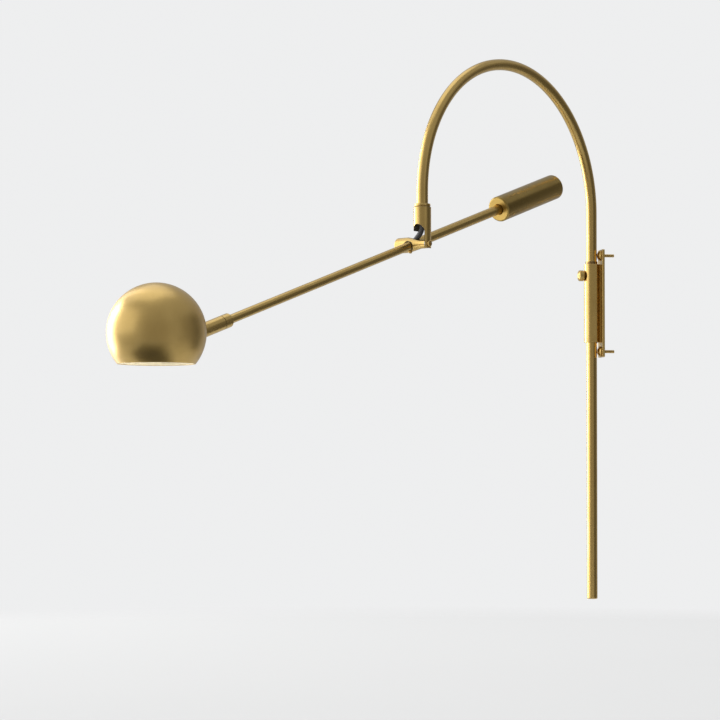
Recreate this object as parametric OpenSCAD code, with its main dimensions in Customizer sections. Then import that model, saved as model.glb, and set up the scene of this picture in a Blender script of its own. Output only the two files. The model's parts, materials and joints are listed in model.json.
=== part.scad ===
// Wall light with a swinging arched stem, a balanced boom and a globe shade.
// Origin: centre of the wall plate's back face. The wall is the plane y = 0, the room is
// towards -Y, and +Z is up. All lengths are in millimetres and all angles in degrees.

/* [Rest pose] */
// Swing of the arch from straight out of the wall
swing = 40; // [-60:1:80]
// Slope of the boom, shade end down
boom_tilt = 18.5; // [-30:0.5:34]
// Pitch of the shade, 0 when its rim is level
shade_pitch = 0; // [-12:1:12]

/* [Wall plate] */
// Height of the plate
plate_h = 130; // [124:1:180]
// Width of the plate
plate_w = 22; // [18:1:40]
// Thickness of the plate
plate_t = 3; // [2.5:0.5:6]
// Radius of the plate's corners
plate_corner = 1.5; // [0.5:0.5:5]
// Distance between the two wall screws
wall_screw_pitch = 116; // [104:1:118]
// Diameter of a wall screw
wall_screw_d = 4; // [3:0.5:5]
// Diameter of a wall screw's head
wall_head_d = 12.5; // [9:0.5:14]
// Height of a wall screw's head
wall_head_h = 4; // [3:0.5:5]
// Width and depth of the slot in a wall screw's head
wall_slot = 1.6; // [1:0.1:2]
// Length of a wall screw that stands out behind the plate
wall_screw_out = 14; // [8:1:30]
// Clearance round a wall screw in the plate
wall_screw_gap = 0.25; // [0.1:0.05:0.5]
// Radius of the dome on a wall screw's head
wall_dome_r = 8; // [7.5:0.5:12]
// Turn of the wall screws' slots away from level
wall_slot_turn = 25; // [0:5:90]
// Step from a wall screw's thread down to its plain neck in the plate
wall_neck_step = 0.3; // [0.1:0.05:0.5]

/* [Sleeve] */
// Height of the sleeve
sleeve_h = 94.4; // [80:0.2:100]
// Radius of the sleeve's round front
sleeve_r = 9; // [8.5:0.25:11]
// Distance from the plate's front face to the stem's axis
stem_gap = 10.7; // [10.4:0.1:14]
// Depth of the sleeve's flat cheeks behind the stem's axis
cheek_depth = 4.4; // [3:0.1:5]
// Width of the web that seats on the plate
web_w = 9; // [8.5:0.25:12]
// Distance between the screws that hold the sleeve
web_screw_pitch = 60; // [40:1:70]
// Diameter of a sleeve screw
web_screw_d = 4; // [3:0.5:4]
// Depth of a sleeve screw in the sleeve
web_screw_bite = 3; // [2:0.1:3.2]
// Height of a sleeve screw's countersunk head
web_head_h = 1.9; // [1.5:0.1:2.2]

/* [Liner bush] */
// Wall of the liner bush
liner_wall = 0.85; // [0.8:0.05:1.1]
// Height of the liner above the sleeve
liner_proud = 3.4; // [1:0.1:6]
// Depth of the groove that the lock screw runs in
liner_groove_depth = 0.35; // [0.2:0.05:0.4]

/* [Lock knob] */
// Diameter of the knob
knob_d = 13; // [10:0.5:16]
// Thickness of the knob
knob_t = 6.7; // [5:0.1:10]
// Height of the knob above the middle of the plate
knob_z = 33.4; // [15:0.2:38]
// Diameter of the knob's screw
knob_screw_d = 5; // [4:0.5:6]
// Gap between the knob and the sleeve
knob_gap = 0.5; // [0.3:0.1:2]
// Depth of the dish in the knob's face
knob_dish = 0.9; // [0.5:0.1:1.5]
// Chamfer of the knob's edges
knob_chamfer = 1; // [0.3:0.1:1.5]
// Width of the rim round the knob's dish
knob_rim = 2; // [1:0.1:2.5]

/* [Stem and arch] */
// Diameter of the bent tube
tube_d = 12.7; // [12:0.1:13]
// Wall of the bent tube
tube_wall = 1; // [0.8:0.1:1.2]
// Radius of the arch, on the tube's centre line
arch_r = 160; // [140:1:200]
// Height of the arch's springing above the middle of the plate
spring_z = 108.2; // [96.6:0.2:120]
// Length of the straight tail of the arch above the swivel
tail_l = 14.2; // [4.6:0.1:20]
// Depth of the stem's foot below the middle of the plate
stem_drop = 356; // [300:1:450]

/* [Cable] */
// Diameter of the cable in the tubes
cable_d = 6; // [5:0.1:6.2]
// Diameter of the stripped cable in the shade swivel
lead_d = 3.2; // [2.5:0.1:3.4]
// Clearance round the cable where a bore guides it
cable_gap = 0.4; // [0.3:0.05:0.6]
// Radius of the cable's bend in the knuckle window
link_bend_r = 16; // [12:0.5:18]
// Angle of the cable where it enters the cross barrel
link_angle = 45; // [38:1:50]
// Length of the gland in the stem's foot
gland_l = 12; // [8:1:20]
// Thickness of the gland's flange
gland_flange = 1.5; // [1:0.1:3]
// Chamfer of the gland's flange
gland_chamfer = 0.75; // [0.2:0.05:0.9]

/* [Arch swivel] */
// Diameter of the swivel ring
ring_d = 18; // [16:0.5:19]
// Height of the swivel ring
ring_h = 3; // [2:0.1:5]
// Chamfer of the swivel ring's edges
ring_chamfer = 0.4; // [0.2:0.1:0.8]
// Thickness of the friction washer under the ring
friction_t = 0.6; // [0.4:0.1:1]
// Diameter of the friction washer
friction_d = 17; // [15:0.5:17.5]
// Diameter of the swivel's spigot
spigot_d = 12; // [10:0.5:12.5]
// Length of the spigot's plug in the arch's tail
plug_l = 4.4; // [3:0.1:4.5]
// Thickness of the swivel nut
swivel_nut_h = 3.5; // [3:0.5:4]
// Width of the swivel nut across its flats
swivel_nut_af = 13.4; // [13.2:0.1:13.6]
// Thickness of the washer on the swivel nut
swivel_washer_t = 0.8; // [0.5:0.1:1]
// Length of the spigot that shows past its nut
spigot_proud = 0.5; // [0.2:0.1:1]
// Room round the washer on the swivel nut
swivel_washer_room = 0.5; // [0.3:0.1:0.8]

/* [Knuckle] */
// Diameter of the knuckle
knuckle_d = 19.5; // [19:0.1:21]
// Bore of the knuckle's forked part
fork_bore = 16; // [15.8:0.1:16.4]
// Thickness of the web that turns on the spigot
knuckle_web = 10.6; // [8:0.1:11]
// Half width of the arched window through the knuckle
window_half = 7.8; // [7:0.1:7.85]
// Height of the window's crown above the boom's pivot
window_rise = 21.8; // [20:0.1:22]
// Height of the boom's pivot above the middle of the plate
pivot_z = 49.2; // [46.2:0.2:50]
// Reach of the near ear below the pivot
near_ear = 4.9; // [4.5:0.1:7]
// Height of the far ear's end above the pivot
far_ear = 14.8; // [14:0.1:15.4]

/* [Cross barrel] */
// Diameter of the barrel
barrel_d = 17.2; // [16.8:0.1:19]
// Diameter of the barrel's slim end, at the pivot
barrel_slim_d = 10; // [9.6:0.1:10.6]
// Chamfer of the barrel's far end
barrel_chamfer = 1; // [0.5:0.1:2]
// Room round the barrel's slim end in the flat on the near ear
barrel_room = 0.7; // [0.5:0.1:0.9]
// Gap round the front tube in the mouth of its hole in the barrel
barrel_mouth_gap = 1.65; // [0.5:0.05:1.8]
// Depth of that mouth
barrel_mouth_depth = 1.6; // [0.8:0.1:2.4]
// Distance from the arch's plane to the barrel's far end
barrel_far = 34.5; // [31:0.5:40]
// Distance from the arch's plane to the start of the barrel's taper
taper_far = 19.5; // [17:0.5:22]
// Distance from the arch's plane to the end of the barrel's taper
taper_near = 2; // [0:0.5:4]
// Distance from the arch's plane to the boom's axis
boom_side = 15; // [14.5:0.1:16]
// Diameter of the pivot screw
pivot_d = 5; // [4:0.5:5]
// Diameter of the pivot screw's head
pivot_head_d = 6.6; // [6:0.1:8]
// Height of the pivot screw's head
pivot_head_h = 1.8; // [1:0.1:3]
// Chamfer of the pivot screw's head
pivot_chamfer = 0.5; // [0.2:0.1:0.8]
// Depth of the hexagon sockets in the screws
socket_depth = 1.2; // [0.8:0.1:2]
// Thickness of the pivot's spring washer
pivot_washer_t = 0.6; // [0.4:0.1:0.8]
// Wall left in the near ear behind the washer's flat
ear_wall = 2.5; // [2.2:0.1:2.8]
// Diameter of the screw that holds the boom tube
boom_screw_d = 4; // [3:0.5:5]
// Length of that screw that stands out of the barrel
boom_screw_out = 2.2; // [1:0.1:3]
// Angle of that screw in front of straight down
boom_screw_turn = 20; // [0:1:30]

/* [Boom] */
// Distance from the pivot to the centre of the shade's ball joint
boom_reach = 356; // [300:1:420]
// Diameter of the front tube
front_d = 9.5; // [9.4:0.1:10]
// Wall of the front tube
front_wall = 1; // [0.8:0.1:1.2]
// Diameter of the rear rod
rear_d = 11; // [10:0.1:11.6]
// Chamfer of the rear rod's end
rod_chamfer = 0.6; // [0.3:0.1:1]
// Half length of the chamber in the barrel, where the cable bends
chamber_half = 4.5; // [4.2:0.1:5]

/* [Counterweight] */
// Diameter of the counterweight
weight_d = 29.5; // [24:0.5:34]
// Length of the counterweight
weight_l = 113; // [90:1:120]
// Distance from the pivot to the counterweight's near face
weight_start = 165; // [150:1:175]
// Length of the rod inside the counterweight
rod_grip = 80; // [60:1:84]
// Thickness of the counterweight's closed end
weight_end = 9; // [5:1:12]
// Chamfer of the counterweight's edges
weight_chamfer = 1.5; // [0.5:0.1:3]
// Width of the chamfer round the rod's hole
mouth_chamfer = 1.2; // [0.5:0.1:2]
// Diameter of the counterweight's set screw
weight_screw_d = 5; // [4:0.5:6]
// Distance from the near face to the set screw
weight_screw_at = 15; // [8:1:30]
// Depth of that set screw below the counterweight's skin
weight_screw_sunk = 2; // [0.5:0.5:4]

/* [Neck] */
// Diameter of the neck
neck_d = 15; // [14.8:0.1:17]
// Length of the collar on the boom tube
collar_l = 11; // [8:0.5:16]
// Distance from the ball's centre back to the collar's back face
neck_back = 47; // [46:0.5:60]
// Depth of the boom tube in the collar
collar_seat = 8; // [5:0.5:9]
// Chamfer of the collar's back edge
collar_chamfer = 1.2; // [0.5:0.1:2]
// Gap that shows as a line between collar and barrel
neck_line = 0.6; // [0.3:0.1:1]
// Diameter of the collar's spigot
neck_spigot_d = 11; // [10.6:0.1:11.4]
// Length of the collar's spigot
neck_spigot_l = 10; // [9:0.5:10.5]
// Diameter of the stop screw
stop_screw_d = 3; // [2:0.5:3]
// Depth of the stop screw below the neck's skin
stop_screw_sunk = 0.3; // [0.1:0.1:0.8]
// Depth of the groove that the stop screw runs in
stop_groove = 0.8; // [0.5:0.1:1]
// Wall of the barrel at its threaded end
neck_thread_wall = 0.8; // [0.7:0.1:0.9]
// Wall of the cap round that thread
cap_wall = 0.8; // [0.6:0.1:1]
// Distance from the ball's centre back to the cap's rear edge
cap_back = 11; // [10.5:0.5:12]
// Distance from the ball's centre back to the barrel's front end
thread_back = 6.5; // [6:0.5:7]
// Distance from the ball's centre back to the seat spring's shoulder
shoulder_back = 15; // [14:0.5:15.5]
// Height of the seat spring
seat_spring_h = 1.8; // [1:0.1:2.4]
// Width of the seat spring
seat_spring_w = 1.2; // [0.8:0.1:1.6]
// Distance from the ball's centre back to the front of its seat
seat_back_off = 4; // [3.6:0.1:4.4]
// Distance from the ball's centre to the start of the cap's cone
cap_cone_at = 0.5; // [0:0.1:1]

/* [Shade swivel] */
// Diameter of the ball
ball_d = 13; // [12.6:0.1:13.1]
// Distance from the ball's centre to the front of the cap's lip
lip_front = 2.9; // [2.6:0.1:3.2]
// Width of the cap's lip
lip_w = 0.7; // [0.5:0.1:1]
// Distance from the ball's centre to the shade's wall
ball_gap = 9; // [8.6:0.1:12]
// Diameter of the stud's waist behind the shade
waist_d = 5.6; // [5:0.1:6]
// Diameter of the threaded nipple through the shade
nipple_d = 10; // [9:0.5:10]
// Thickness of the stud's flange
flange_t = 1; // [0.8:0.1:1.2]
// Reach of the stud's flange past the nipple
flange_w = 0.8; // [0.5:0.1:1.2]
// Diameter of the dished washer outside the shade
outer_washer_d = 16; // [13:0.5:18]
// Least thickness of the dished washer outside the shade
outer_washer_t = 1; // [0.8:0.1:1.5]
// Diameter of the washer inside the shade
inner_washer_d = 18; // [15:0.5:20]
// Thickness of the washer inside the shade
inner_washer_t = 2; // [1.5:0.1:3]
// Thickness of the nut on the nipple
stud_nut_h = 3.5; // [3:0.5:5]
// Width of the nut on the nipple across its flats
stud_nut_af = 14; // [13:0.5:17]
// Height of the nipple above the shade's middle, as an angle
stud_lat = 2.6; // [0:0.1:5]

/* [Shade] */
// Diameter of the shade
shade_d = 100; // [96:1:130]
// Wall of the shade
shade_wall = 0.8; // [0.6:0.1:1.5]
// Distance from the shade's centre down to its rim
rim_drop = 31.3; // [26:0.1:34]

/* [Lampholder and bulb] */
// Diameter of the lampholder
holder_d = 25; // [22:0.5:30]
// Length of the lampholder
holder_l = 30; // [28:1:34]
// Depth of the nipple in the lampholder
holder_grip = 8; // [6:0.5:9]
// Chamfer of the lampholder's back edge
holder_chamfer = 2.5; // [1:0.5:4]
// Distance from the nipple's end to the centre contact
contact_gap = 2; // [1:0.5:3]
// Bore of the lampholder's screw shell
shell_bore = 14; // [13.8:0.1:14.4]
// Wall of the lampholder's screw shell
shell_wall = 0.5; // [0.3:0.1:0.8]
// Length of the lampholder's screw shell
shell_l = 16; // [12:1:17]
// Thickness of the lampholder's centre contact
contact_t = 1; // [0.6:0.1:1.4]
// Diameter of the lampholder's centre contact
contact_d = 7; // [5:0.5:9]
// Length of the bulb's cap
cap_l = 19; // [17:1:20]
// Length of the tapered end of the bulb's cap
cap_taper = 3; // [2:0.5:5]
// Diameter of the tip of the bulb's cap
cap_tip_d = 5.6; // [4:0.2:8]
// Diameter of the bulb's globe
globe_d = 35; // [28:0.5:38]
// Length of the bulb, with its cap
bulb_l = 63; // [60:1:66]
// Wall of the bulb's glass
glass_t = 0.7; // [0.4:0.1:1]

/* [Fits] */
// Radial clearance of parts that turn or slide on each other
run_gap = 0.05; // [0.03:0.01:0.08]
// Radial clearance of parts that are pressed or screwed together
seat_gap = 0.03; // [0.02:0.01:0.05]
// Gap between faces that turn past each other
face_gap = 0.1; // [0.1:0.05:0.2]
// Gap past the end of a screw or spigot in its blind hole
end_gap = 0.2; // [0.1:0.1:0.5]
// Gap at each side of a screw that runs in a groove
groove_gap = 0.3; // [0.2:0.1:0.5]
// Gap between the shade's wall and its washers
wall_gap = 0.05; // [0.03:0.01:0.1]
// Swelling of the cable's sheath where it bends
link_swell = 0.06; // [0.05:0.01:0.1]
// Gap between the ends of cable pieces on different moving parts
cable_end_gap = 0.3; // [0.2:0.1:0.5]

/* [Hidden] */

$fn = 96;
fine = 48;

// Length that a cutter runs past a face, and the depth of a merely touching cut
over = 1;
skin = 0.001;
// Width of a hexagon socket for each millimetre of its screw's diameter
socket_share = 0.5;

brass = "darkgoldenrod";
bright_steel = "lightgrey";
dark_flex = "dimgrey";
pale_nylon = "ivory";

// Places along the stem and the arch
stem_off = plate_t + stem_gap;
tube_r = tube_d / 2;
tube_bore_r = tube_r - tube_wall;
arm_reach = 2 * arch_r;
tail_z = spring_z - tail_l;
foot_z = -stem_drop;
gland_top = foot_z + gland_flange + gland_l;
liner_bore_r = tube_r + run_gap;
liner_r = liner_bore_r + liner_wall;
cable_r = cable_d / 2;
cable_bore_r = cable_r + cable_gap;

// Places down the arch's swivel
ring_z = tail_z - ring_h;
knuckle_top = ring_z - friction_t - face_gap;
web_z = knuckle_top - knuckle_web;
swivel_washer_z = web_z - face_gap - swivel_washer_t;
swivel_nut_z = swivel_washer_z - swivel_nut_h;
spigot_end = swivel_nut_z - spigot_proud;
window_crown = pivot_z + window_rise;

// Places in the knuckle and the barrel
ear_face = knuckle_d / 2 - ear_wall;
barrel_near = ear_face - pivot_washer_t - face_gap;
barrel_flat_d = barrel_slim_d + 2 * barrel_room;
link_straight = (boom_side - link_bend_r * (1 - cos(link_angle))) / sin(link_angle);
link_z = pivot_z + link_bend_r * sin(link_angle) + link_straight * cos(link_angle);
link_stop = cable_r + cable_end_gap;
link_lap = cable_end_gap;
screw_lean = boom_tilt + boom_screw_turn;

// Places along the boom, from the pivot towards the shade
front_r = front_d / 2;
rear_r = rear_d / 2;
collar_back = boom_reach - neck_back;
collar_front = collar_back + collar_l;
neck_spigot_end = collar_front + neck_spigot_l;
neck_barrel_back = collar_front + neck_line;
stop_at = collar_front + neck_spigot_l / 2;
cap_start = boom_reach - cap_back;
thread_end = boom_reach - thread_back;
shoulder = boom_reach - shoulder_back;
seat_back = shoulder + seat_spring_h;
ball_r = ball_d / 2;
socket_r = ball_r + run_gap;
thread_r = neck_d / 2 - cap_wall;
seat_r = thread_r - neck_thread_wall;
rod_end = -(weight_start + rod_grip);

// Places along the stud, from the ball's centre towards the shade's centre
shade_r = shade_d / 2;
shade_in_r = shade_r - shade_wall;
shade_at = ball_gap + shade_r;
flange_start = ball_gap - outer_washer_t - flange_t;
flange_end = ball_gap - outer_washer_t;
inner_wall_at = ball_gap + shade_wall;
nut_start = inner_wall_at + inner_washer_t;
holder_start = nut_start + stud_nut_h;
holder_end = holder_start + holder_l;
nipple_end = holder_start + holder_grip;
shell_start = holder_end - shell_l;
contact_start = nipple_end + contact_gap;
bulb_start = contact_start + contact_t + end_gap;
globe_at = bulb_start + bulb_l - globe_d / 2;
nipple_r = nipple_d / 2;
lead_r = lead_d / 2;
stud_turn = shade_pitch + stud_lat - boom_tilt;

// Place along the stud of a sphere of radius r about the shade's centre, at a distance off
// the stud's axis
function wall_at(r, off) = shade_at - sqrt(pow(r, 2) - pow(off, 2));

// Frame of the arch: +X from the stem to the arch's far end, +Y across the arch, origin on
// the stem's axis at the height of the plate's middle
module arm_frame() {
    translate([0, -stem_off, 0]) rotate([0, 0, swing - 90]) children();
}

// Frame of the boom: +X along the boom to the shade, +Y along the barrel, origin on the pivot
module boom_frame() {
    arm_frame() translate([arm_reach, -boom_side, pivot_z]) rotate([0, boom_tilt, 0]) children();
}

// Frame of the stud: +X from the ball's centre to the shade's centre
module stud_frame() {
    boom_frame() translate([boom_reach, 0, 0]) rotate([0, stud_turn, 0]) children();
}

// Frame of the shade: origin at the sphere's centre, +Z through the crown
module shade_frame() {
    stud_frame() translate([shade_at, 0, 0]) rotate([0, -stud_lat, 0]) children();
}

// Straight round bar along X
module bar_x(r, x0, x1) {
    translate([x0, 0, 0]) rotate([0, 90, 0]) cylinder(r = r, h = x1 - x0);
}

// Straight cone along X
module cone_x(r0, r1, x0, x1) {
    translate([x0, 0, 0]) rotate([0, 90, 0]) cylinder(r1 = r0, r2 = r1, h = x1 - x0);
}

// Straight round bar along Y
module bar_y(r, y0, y1) {
    translate([0, y0, 0]) rotate([-90, 0, 0]) cylinder(r = r, h = y1 - y0);
}

// Straight cone along Y
module cone_y(r0, r1, y0, y1) {
    translate([0, y0, 0]) rotate([-90, 0, 0]) cylinder(r1 = r0, r2 = r1, h = y1 - y0);
}

// Flat ring between two heights
module ring(r_out, r_in, z0, z1) {
    translate([0, 0, z0]) difference() {
        cylinder(r = r_out, h = z1 - z0);
        translate([0, 0, -over]) cylinder(r = r_in, h = z1 - z0 + 2 * over);
    }
}

// Hexagonal nut blank, given across its flats
module hex_bar(af, h) {
    cylinder(d = af / cos(30), h = h, $fn = 6);
}

// Hexagon socket of a screw, cut into the face at z = 0
module hex_socket(screw_d) {
    translate([0, 0, -over]) hex_bar(screw_d * socket_share, socket_depth + over);
}

// Round bar of radius r along the stem, the arch and the arch's tail
module arch_run(r, z_foot, z_tail) {
    translate([0, 0, z_foot]) cylinder(r = r, h = spring_z - z_foot);
    translate([arch_r, 0, spring_z]) rotate([90, 0, 0])
        rotate_extrude(angle = 180) translate([arch_r, 0]) circle(r = r, $fn = fine);
    translate([arm_reach, 0, z_tail]) cylinder(r = r, h = spring_z - z_tail);
}

// Rectangle with round corners, centred
module round_rect(w, h, r) {
    square([w - 2 * r, h], center = true);
    square([w, h - 2 * r], center = true);
    for (x = [-1, 1], y = [-1, 1])
        translate([x * (w / 2 - r), y * (h / 2 - r)]) circle(r = r, $fn = fine);
}

// Wall bracket
module wall_plate() {
    color(brass) difference() {
        rotate([90, 0, 0]) linear_extrude(plate_t) round_rect(plate_w, plate_h, plate_corner);
        for (side = [-1, 1]) {
            translate([0, 0, side * wall_screw_pitch / 2])
                bar_y(wall_screw_d / 2 + wall_screw_gap, -plate_t - over, over);
            translate([0, 0, side * web_screw_pitch / 2]) {
                bar_y(web_screw_d / 2 + seat_gap, -plate_t - over, over);
                cone_y(web_screw_d / 2 + seat_gap, web_screw_d / 2 + web_head_h + seat_gap,
                       -web_head_h, skin);
            }
        }
    }
}

module wall_screws() {
    color(brass) for (side = [-1, 1]) translate([0, -plate_t, side * wall_screw_pitch / 2]) {
        bar_y(wall_screw_d / 2 - wall_neck_step, -over, plate_t);
        bar_y(wall_screw_d / 2, plate_t, plate_t + wall_screw_out);
        difference() {
            intersection() {
                bar_y(wall_head_d / 2, -wall_head_h, 0);
                translate([0, wall_dome_r - wall_head_h, 0]) sphere(r = wall_dome_r);
            }
            rotate([0, wall_slot_turn * side, 0])
                translate([-wall_head_d, -wall_head_h - over, -wall_slot / 2])
                    cube([2 * wall_head_d, wall_slot + over, wall_slot]);
        }
    }
}

module sleeve_block() {
    web_half = web_w / 2;
    color(brass) translate([0, -stem_off, 0]) difference() {
        translate([0, 0, -sleeve_h / 2]) linear_extrude(sleeve_h) union() {
            circle(r = sleeve_r);
            polygon([
                [-sleeve_r, 0], [sleeve_r, 0],
                [sleeve_r, cheek_depth],
                [web_half, cheek_depth + sleeve_r - web_half], [web_half, stem_gap],
                [-web_half, stem_gap], [-web_half, cheek_depth + sleeve_r - web_half],
                [-sleeve_r, cheek_depth]
            ]);
        }
        translate([0, 0, -sleeve_h / 2 - over])
            cylinder(r = liner_r + run_gap, h = sleeve_h + 2 * over);
        translate([0, 0, knob_z]) bar_y(knob_screw_d / 2 + run_gap, -sleeve_r - over, 0);
        for (side = [-1, 1]) translate([0, 0, side * web_screw_pitch / 2])
            bar_y(web_screw_d / 2 + seat_gap, stem_gap - web_screw_bite - end_gap, stem_gap + over);
    }
}

module sleeve_screws() {
    color(bright_steel) for (side = [-1, 1]) translate([0, 0, side * web_screw_pitch / 2]) {
        bar_y(web_screw_d / 2, -plate_t - web_screw_bite, 0);
        cone_y(web_screw_d / 2, web_screw_d / 2 + web_head_h, -web_head_h, 0);
    }
}

// Lock knob, whose screw runs in the liner's groove
module lock_knob() {
    front = -(sleeve_r + knob_gap + knob_t);
    edge = knob_chamfer;
    dish_r = knob_d / 2 - knob_rim;
    color(brass) translate([0, -stem_off, knob_z]) difference() {
        union() {
            bar_y(knob_d / 2, front + edge, front + knob_t - edge);
            cone_y(knob_d / 2 - edge, knob_d / 2, front, front + edge);
            cone_y(knob_d / 2, knob_d / 2 - edge, front + knob_t - edge, front + knob_t);
            bar_y(knob_screw_d / 2, front + knob_t - edge,
                  -(liner_r - liner_groove_depth + face_gap));
        }
        cone_y(dish_r, dish_r - knob_dish, front - skin, front + knob_dish);
    }
}

// Liner bush, which turns in the sleeve while the stem slides in it
module liner_bush() {
    groove_half = knob_screw_d / 2 + groove_gap;
    low = -sleeve_h / 2;
    color(brass) translate([0, -stem_off, 0]) difference() {
        ring(liner_r, liner_bore_r, low, sleeve_h / 2 + liner_proud);
        ring(liner_r + over, liner_r - liner_groove_depth, knob_z - groove_half,
             knob_z + groove_half);
    }
}

// Stem
module stem_tube() {
    color(brass) arm_frame() difference() {
        arch_run(tube_r, foot_z + gland_flange, tail_z);
        arch_run(tube_bore_r, foot_z, tail_z - over);
    }
}

module stem_gland() {
    edge = gland_chamfer;
    color(brass) arm_frame() difference() {
        union() {
            translate([0, 0, foot_z]) cylinder(r1 = tube_r - edge, r2 = tube_r, h = edge);
            translate([0, 0, foot_z + edge]) cylinder(r = tube_r, h = gland_flange - edge);
            translate([0, 0, foot_z + edge])
                cylinder(r = tube_bore_r - seat_gap, h = gland_top - foot_z - edge);
        }
        translate([0, 0, foot_z - over])
            cylinder(r = cable_bore_r, h = gland_top - foot_z + 2 * over);
    }
}

module stem_cable() {
    color(dark_flex) arm_frame() arch_run(cable_r, gland_top, spigot_end + cable_end_gap);
}

module swivel_spigot() {
    edge = ring_chamfer;
    color(brass) arm_frame() translate([arm_reach, 0, 0]) difference() {
        union() {
            translate([0, 0, tail_z - edge])
                cylinder(r = tube_bore_r - seat_gap, h = plug_l + edge);
            translate([0, 0, ring_z + edge]) cylinder(r = ring_d / 2, h = ring_h - 2 * edge);
            translate([0, 0, tail_z - edge])
                cylinder(r1 = ring_d / 2, r2 = ring_d / 2 - edge, h = edge);
            translate([0, 0, ring_z])
                cylinder(r1 = ring_d / 2 - edge, r2 = ring_d / 2, h = edge);
            translate([0, 0, spigot_end])
                cylinder(r = spigot_d / 2, h = ring_z - spigot_end + over);
        }
        translate([0, 0, spigot_end - over])
            cylinder(r = cable_bore_r, h = tail_z + plug_l - spigot_end + 2 * over);
    }
}

module swivel_washer() {
    color(bright_steel) arm_frame() translate([arm_reach, 0, 0])
        ring(fork_bore / 2 - swivel_washer_room, spigot_d / 2 + run_gap, swivel_washer_z,
             swivel_washer_z + swivel_washer_t);
}

module swivel_nut() {
    color(bright_steel) arm_frame() translate([arm_reach, 0, swivel_nut_z]) difference() {
        hex_bar(swivel_nut_af, swivel_nut_h);
        translate([0, 0, -over])
            cylinder(r = spigot_d / 2 + seat_gap, h = swivel_nut_h + 2 * over);
    }
}

// Knuckle, a forked tube that hangs on the spigot. The far ear is cut short, where the
// barrel and the boom pass under it.
module knuckle() {
    bottom = pivot_z - near_ear;
    cut_r = knuckle_d / 2 + over;
    color(brass) arm_frame() translate([arm_reach, 0, 0]) difference() {
        translate([0, 0, bottom]) cylinder(r = knuckle_d / 2, h = knuckle_top - bottom);
        translate([0, 0, bottom - over]) cylinder(r = fork_bore / 2, h = web_z - bottom + over);
        translate([0, 0, web_z - over])
            cylinder(r = spigot_d / 2 + run_gap, h = knuckle_web + 2 * over);
        translate([-cut_r, -window_half, bottom - over])
            cube([2 * cut_r, 2 * window_half, window_crown - window_half - bottom + over]);
        translate([0, 0, window_crown - window_half]) bar_x(window_half, -cut_r, cut_r);
        translate([-cut_r, -cut_r, bottom - over])
            cube([2 * cut_r, cut_r, pivot_z + far_ear - bottom + over]);
        translate([0, 0, pivot_z]) {
            bar_y(pivot_d / 2 + run_gap, 0, cut_r);
            bar_y(barrel_flat_d / 2, 0, ear_face);
        }
    }
}

module friction_washer() {
    color("black") arm_frame() translate([arm_reach, 0, 0])
        ring(friction_d / 2, spigot_d / 2 + run_gap, knuckle_top, knuckle_top + friction_t);
}

// Cable in the window: straight down, round a bend and into the barrel's top
module link_cable() {
    color(dark_flex) arm_frame() translate([arm_reach, 0, 0]) {
        translate([0, 0, link_z - link_lap])
            cylinder(r = cable_r, h = spigot_end - link_z + link_lap);
        translate([0, -link_bend_r, link_z]) rotate([0, 0, 90]) rotate([90, 0, 0])
            rotate([0, 0, -link_angle]) rotate_extrude(angle = link_angle)
                translate([link_bend_r, 0]) circle(r = cable_r + link_swell, $fn = fine);
        translate([0, -boom_side, pivot_z]) rotate([-link_angle, 0, 0])
            translate([0, 0, link_stop])
                cylinder(r = cable_r, h = link_straight - link_stop + link_lap);
    }
}

// Boom, which tilts on the pivot screw
module cross_barrel() {
    far = boom_side - barrel_far;
    edge = barrel_chamfer;
    color(brass) boom_frame() difference() {
        union() {
            cone_y(barrel_d / 2 - edge, barrel_d / 2, far, far + edge);
            bar_y(barrel_d / 2, far + edge, boom_side - taper_far);
            cone_y(barrel_d / 2, barrel_slim_d / 2, boom_side - taper_far,
                   boom_side - taper_near);
            bar_y(barrel_slim_d / 2, boom_side - taper_near, boom_side + barrel_near);
        }
        bar_x(front_r + seat_gap, chamber_half, barrel_d);
        bar_x(front_r + barrel_mouth_gap, barrel_d / 2 - barrel_mouth_depth, barrel_d);
        bar_x(cable_bore_r, -chamber_half - over, chamber_half + over);
        bar_x(rear_r + seat_gap, -barrel_d, -chamber_half);
        bar_y(pivot_d / 2 + seat_gap, boom_side - taper_near, boom_side + barrel_near + over);
        rotate([0, -boom_tilt, 0]) rotate([-link_angle, 0, 0])
            cylinder(r = cable_bore_r, h = barrel_d);
        rotate([0, -screw_lean, 0]) translate([0, 0, -barrel_d])
            cylinder(r = boom_screw_d / 2 + seat_gap, h = barrel_d);
    }
}

module pivot_screw() {
    head_face = boom_side + knuckle_d / 2 + face_gap;
    edge = pivot_chamfer;
    color(brass) boom_frame() difference() {
        union() {
            bar_y(pivot_d / 2, boom_side - taper_near + end_gap, head_face + edge);
            bar_y(pivot_head_d / 2, head_face, head_face + pivot_head_h - edge);
            cone_y(pivot_head_d / 2, pivot_head_d / 2 - edge, head_face + pivot_head_h - edge,
                   head_face + pivot_head_h);
        }
        translate([0, head_face + pivot_head_h, 0]) rotate([90, 0, 0]) hex_socket(pivot_d);
    }
}

module pivot_washer() {
    color(bright_steel) boom_frame() translate([0, boom_side + barrel_near, 0])
        rotate([-90, 0, 0])
            ring(barrel_slim_d / 2, pivot_d / 2 + seat_gap, 0, pivot_washer_t);
}

module boom_tube() {
    color(brass) boom_frame() difference() {
        bar_x(front_r, chamber_half, collar_back + collar_seat);
        bar_x(front_r - front_wall, 0, collar_back + collar_seat + over);
    }
}

module boom_screw() {
    taper = (barrel_d - barrel_slim_d) / 2 / (taper_far - taper_near);
    head = barrel_d / 2 - taper * (taper_far - boom_side) + boom_screw_out;
    color(brass) boom_frame() difference() {
        rotate([0, -screw_lean, 0]) translate([0, 0, -head]) difference() {
            cylinder(r = boom_screw_d / 2, h = head - front_r - face_gap);
            hex_socket(boom_screw_d);
        }
        bar_x(front_r + face_gap, 0, barrel_d);
    }
}

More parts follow.
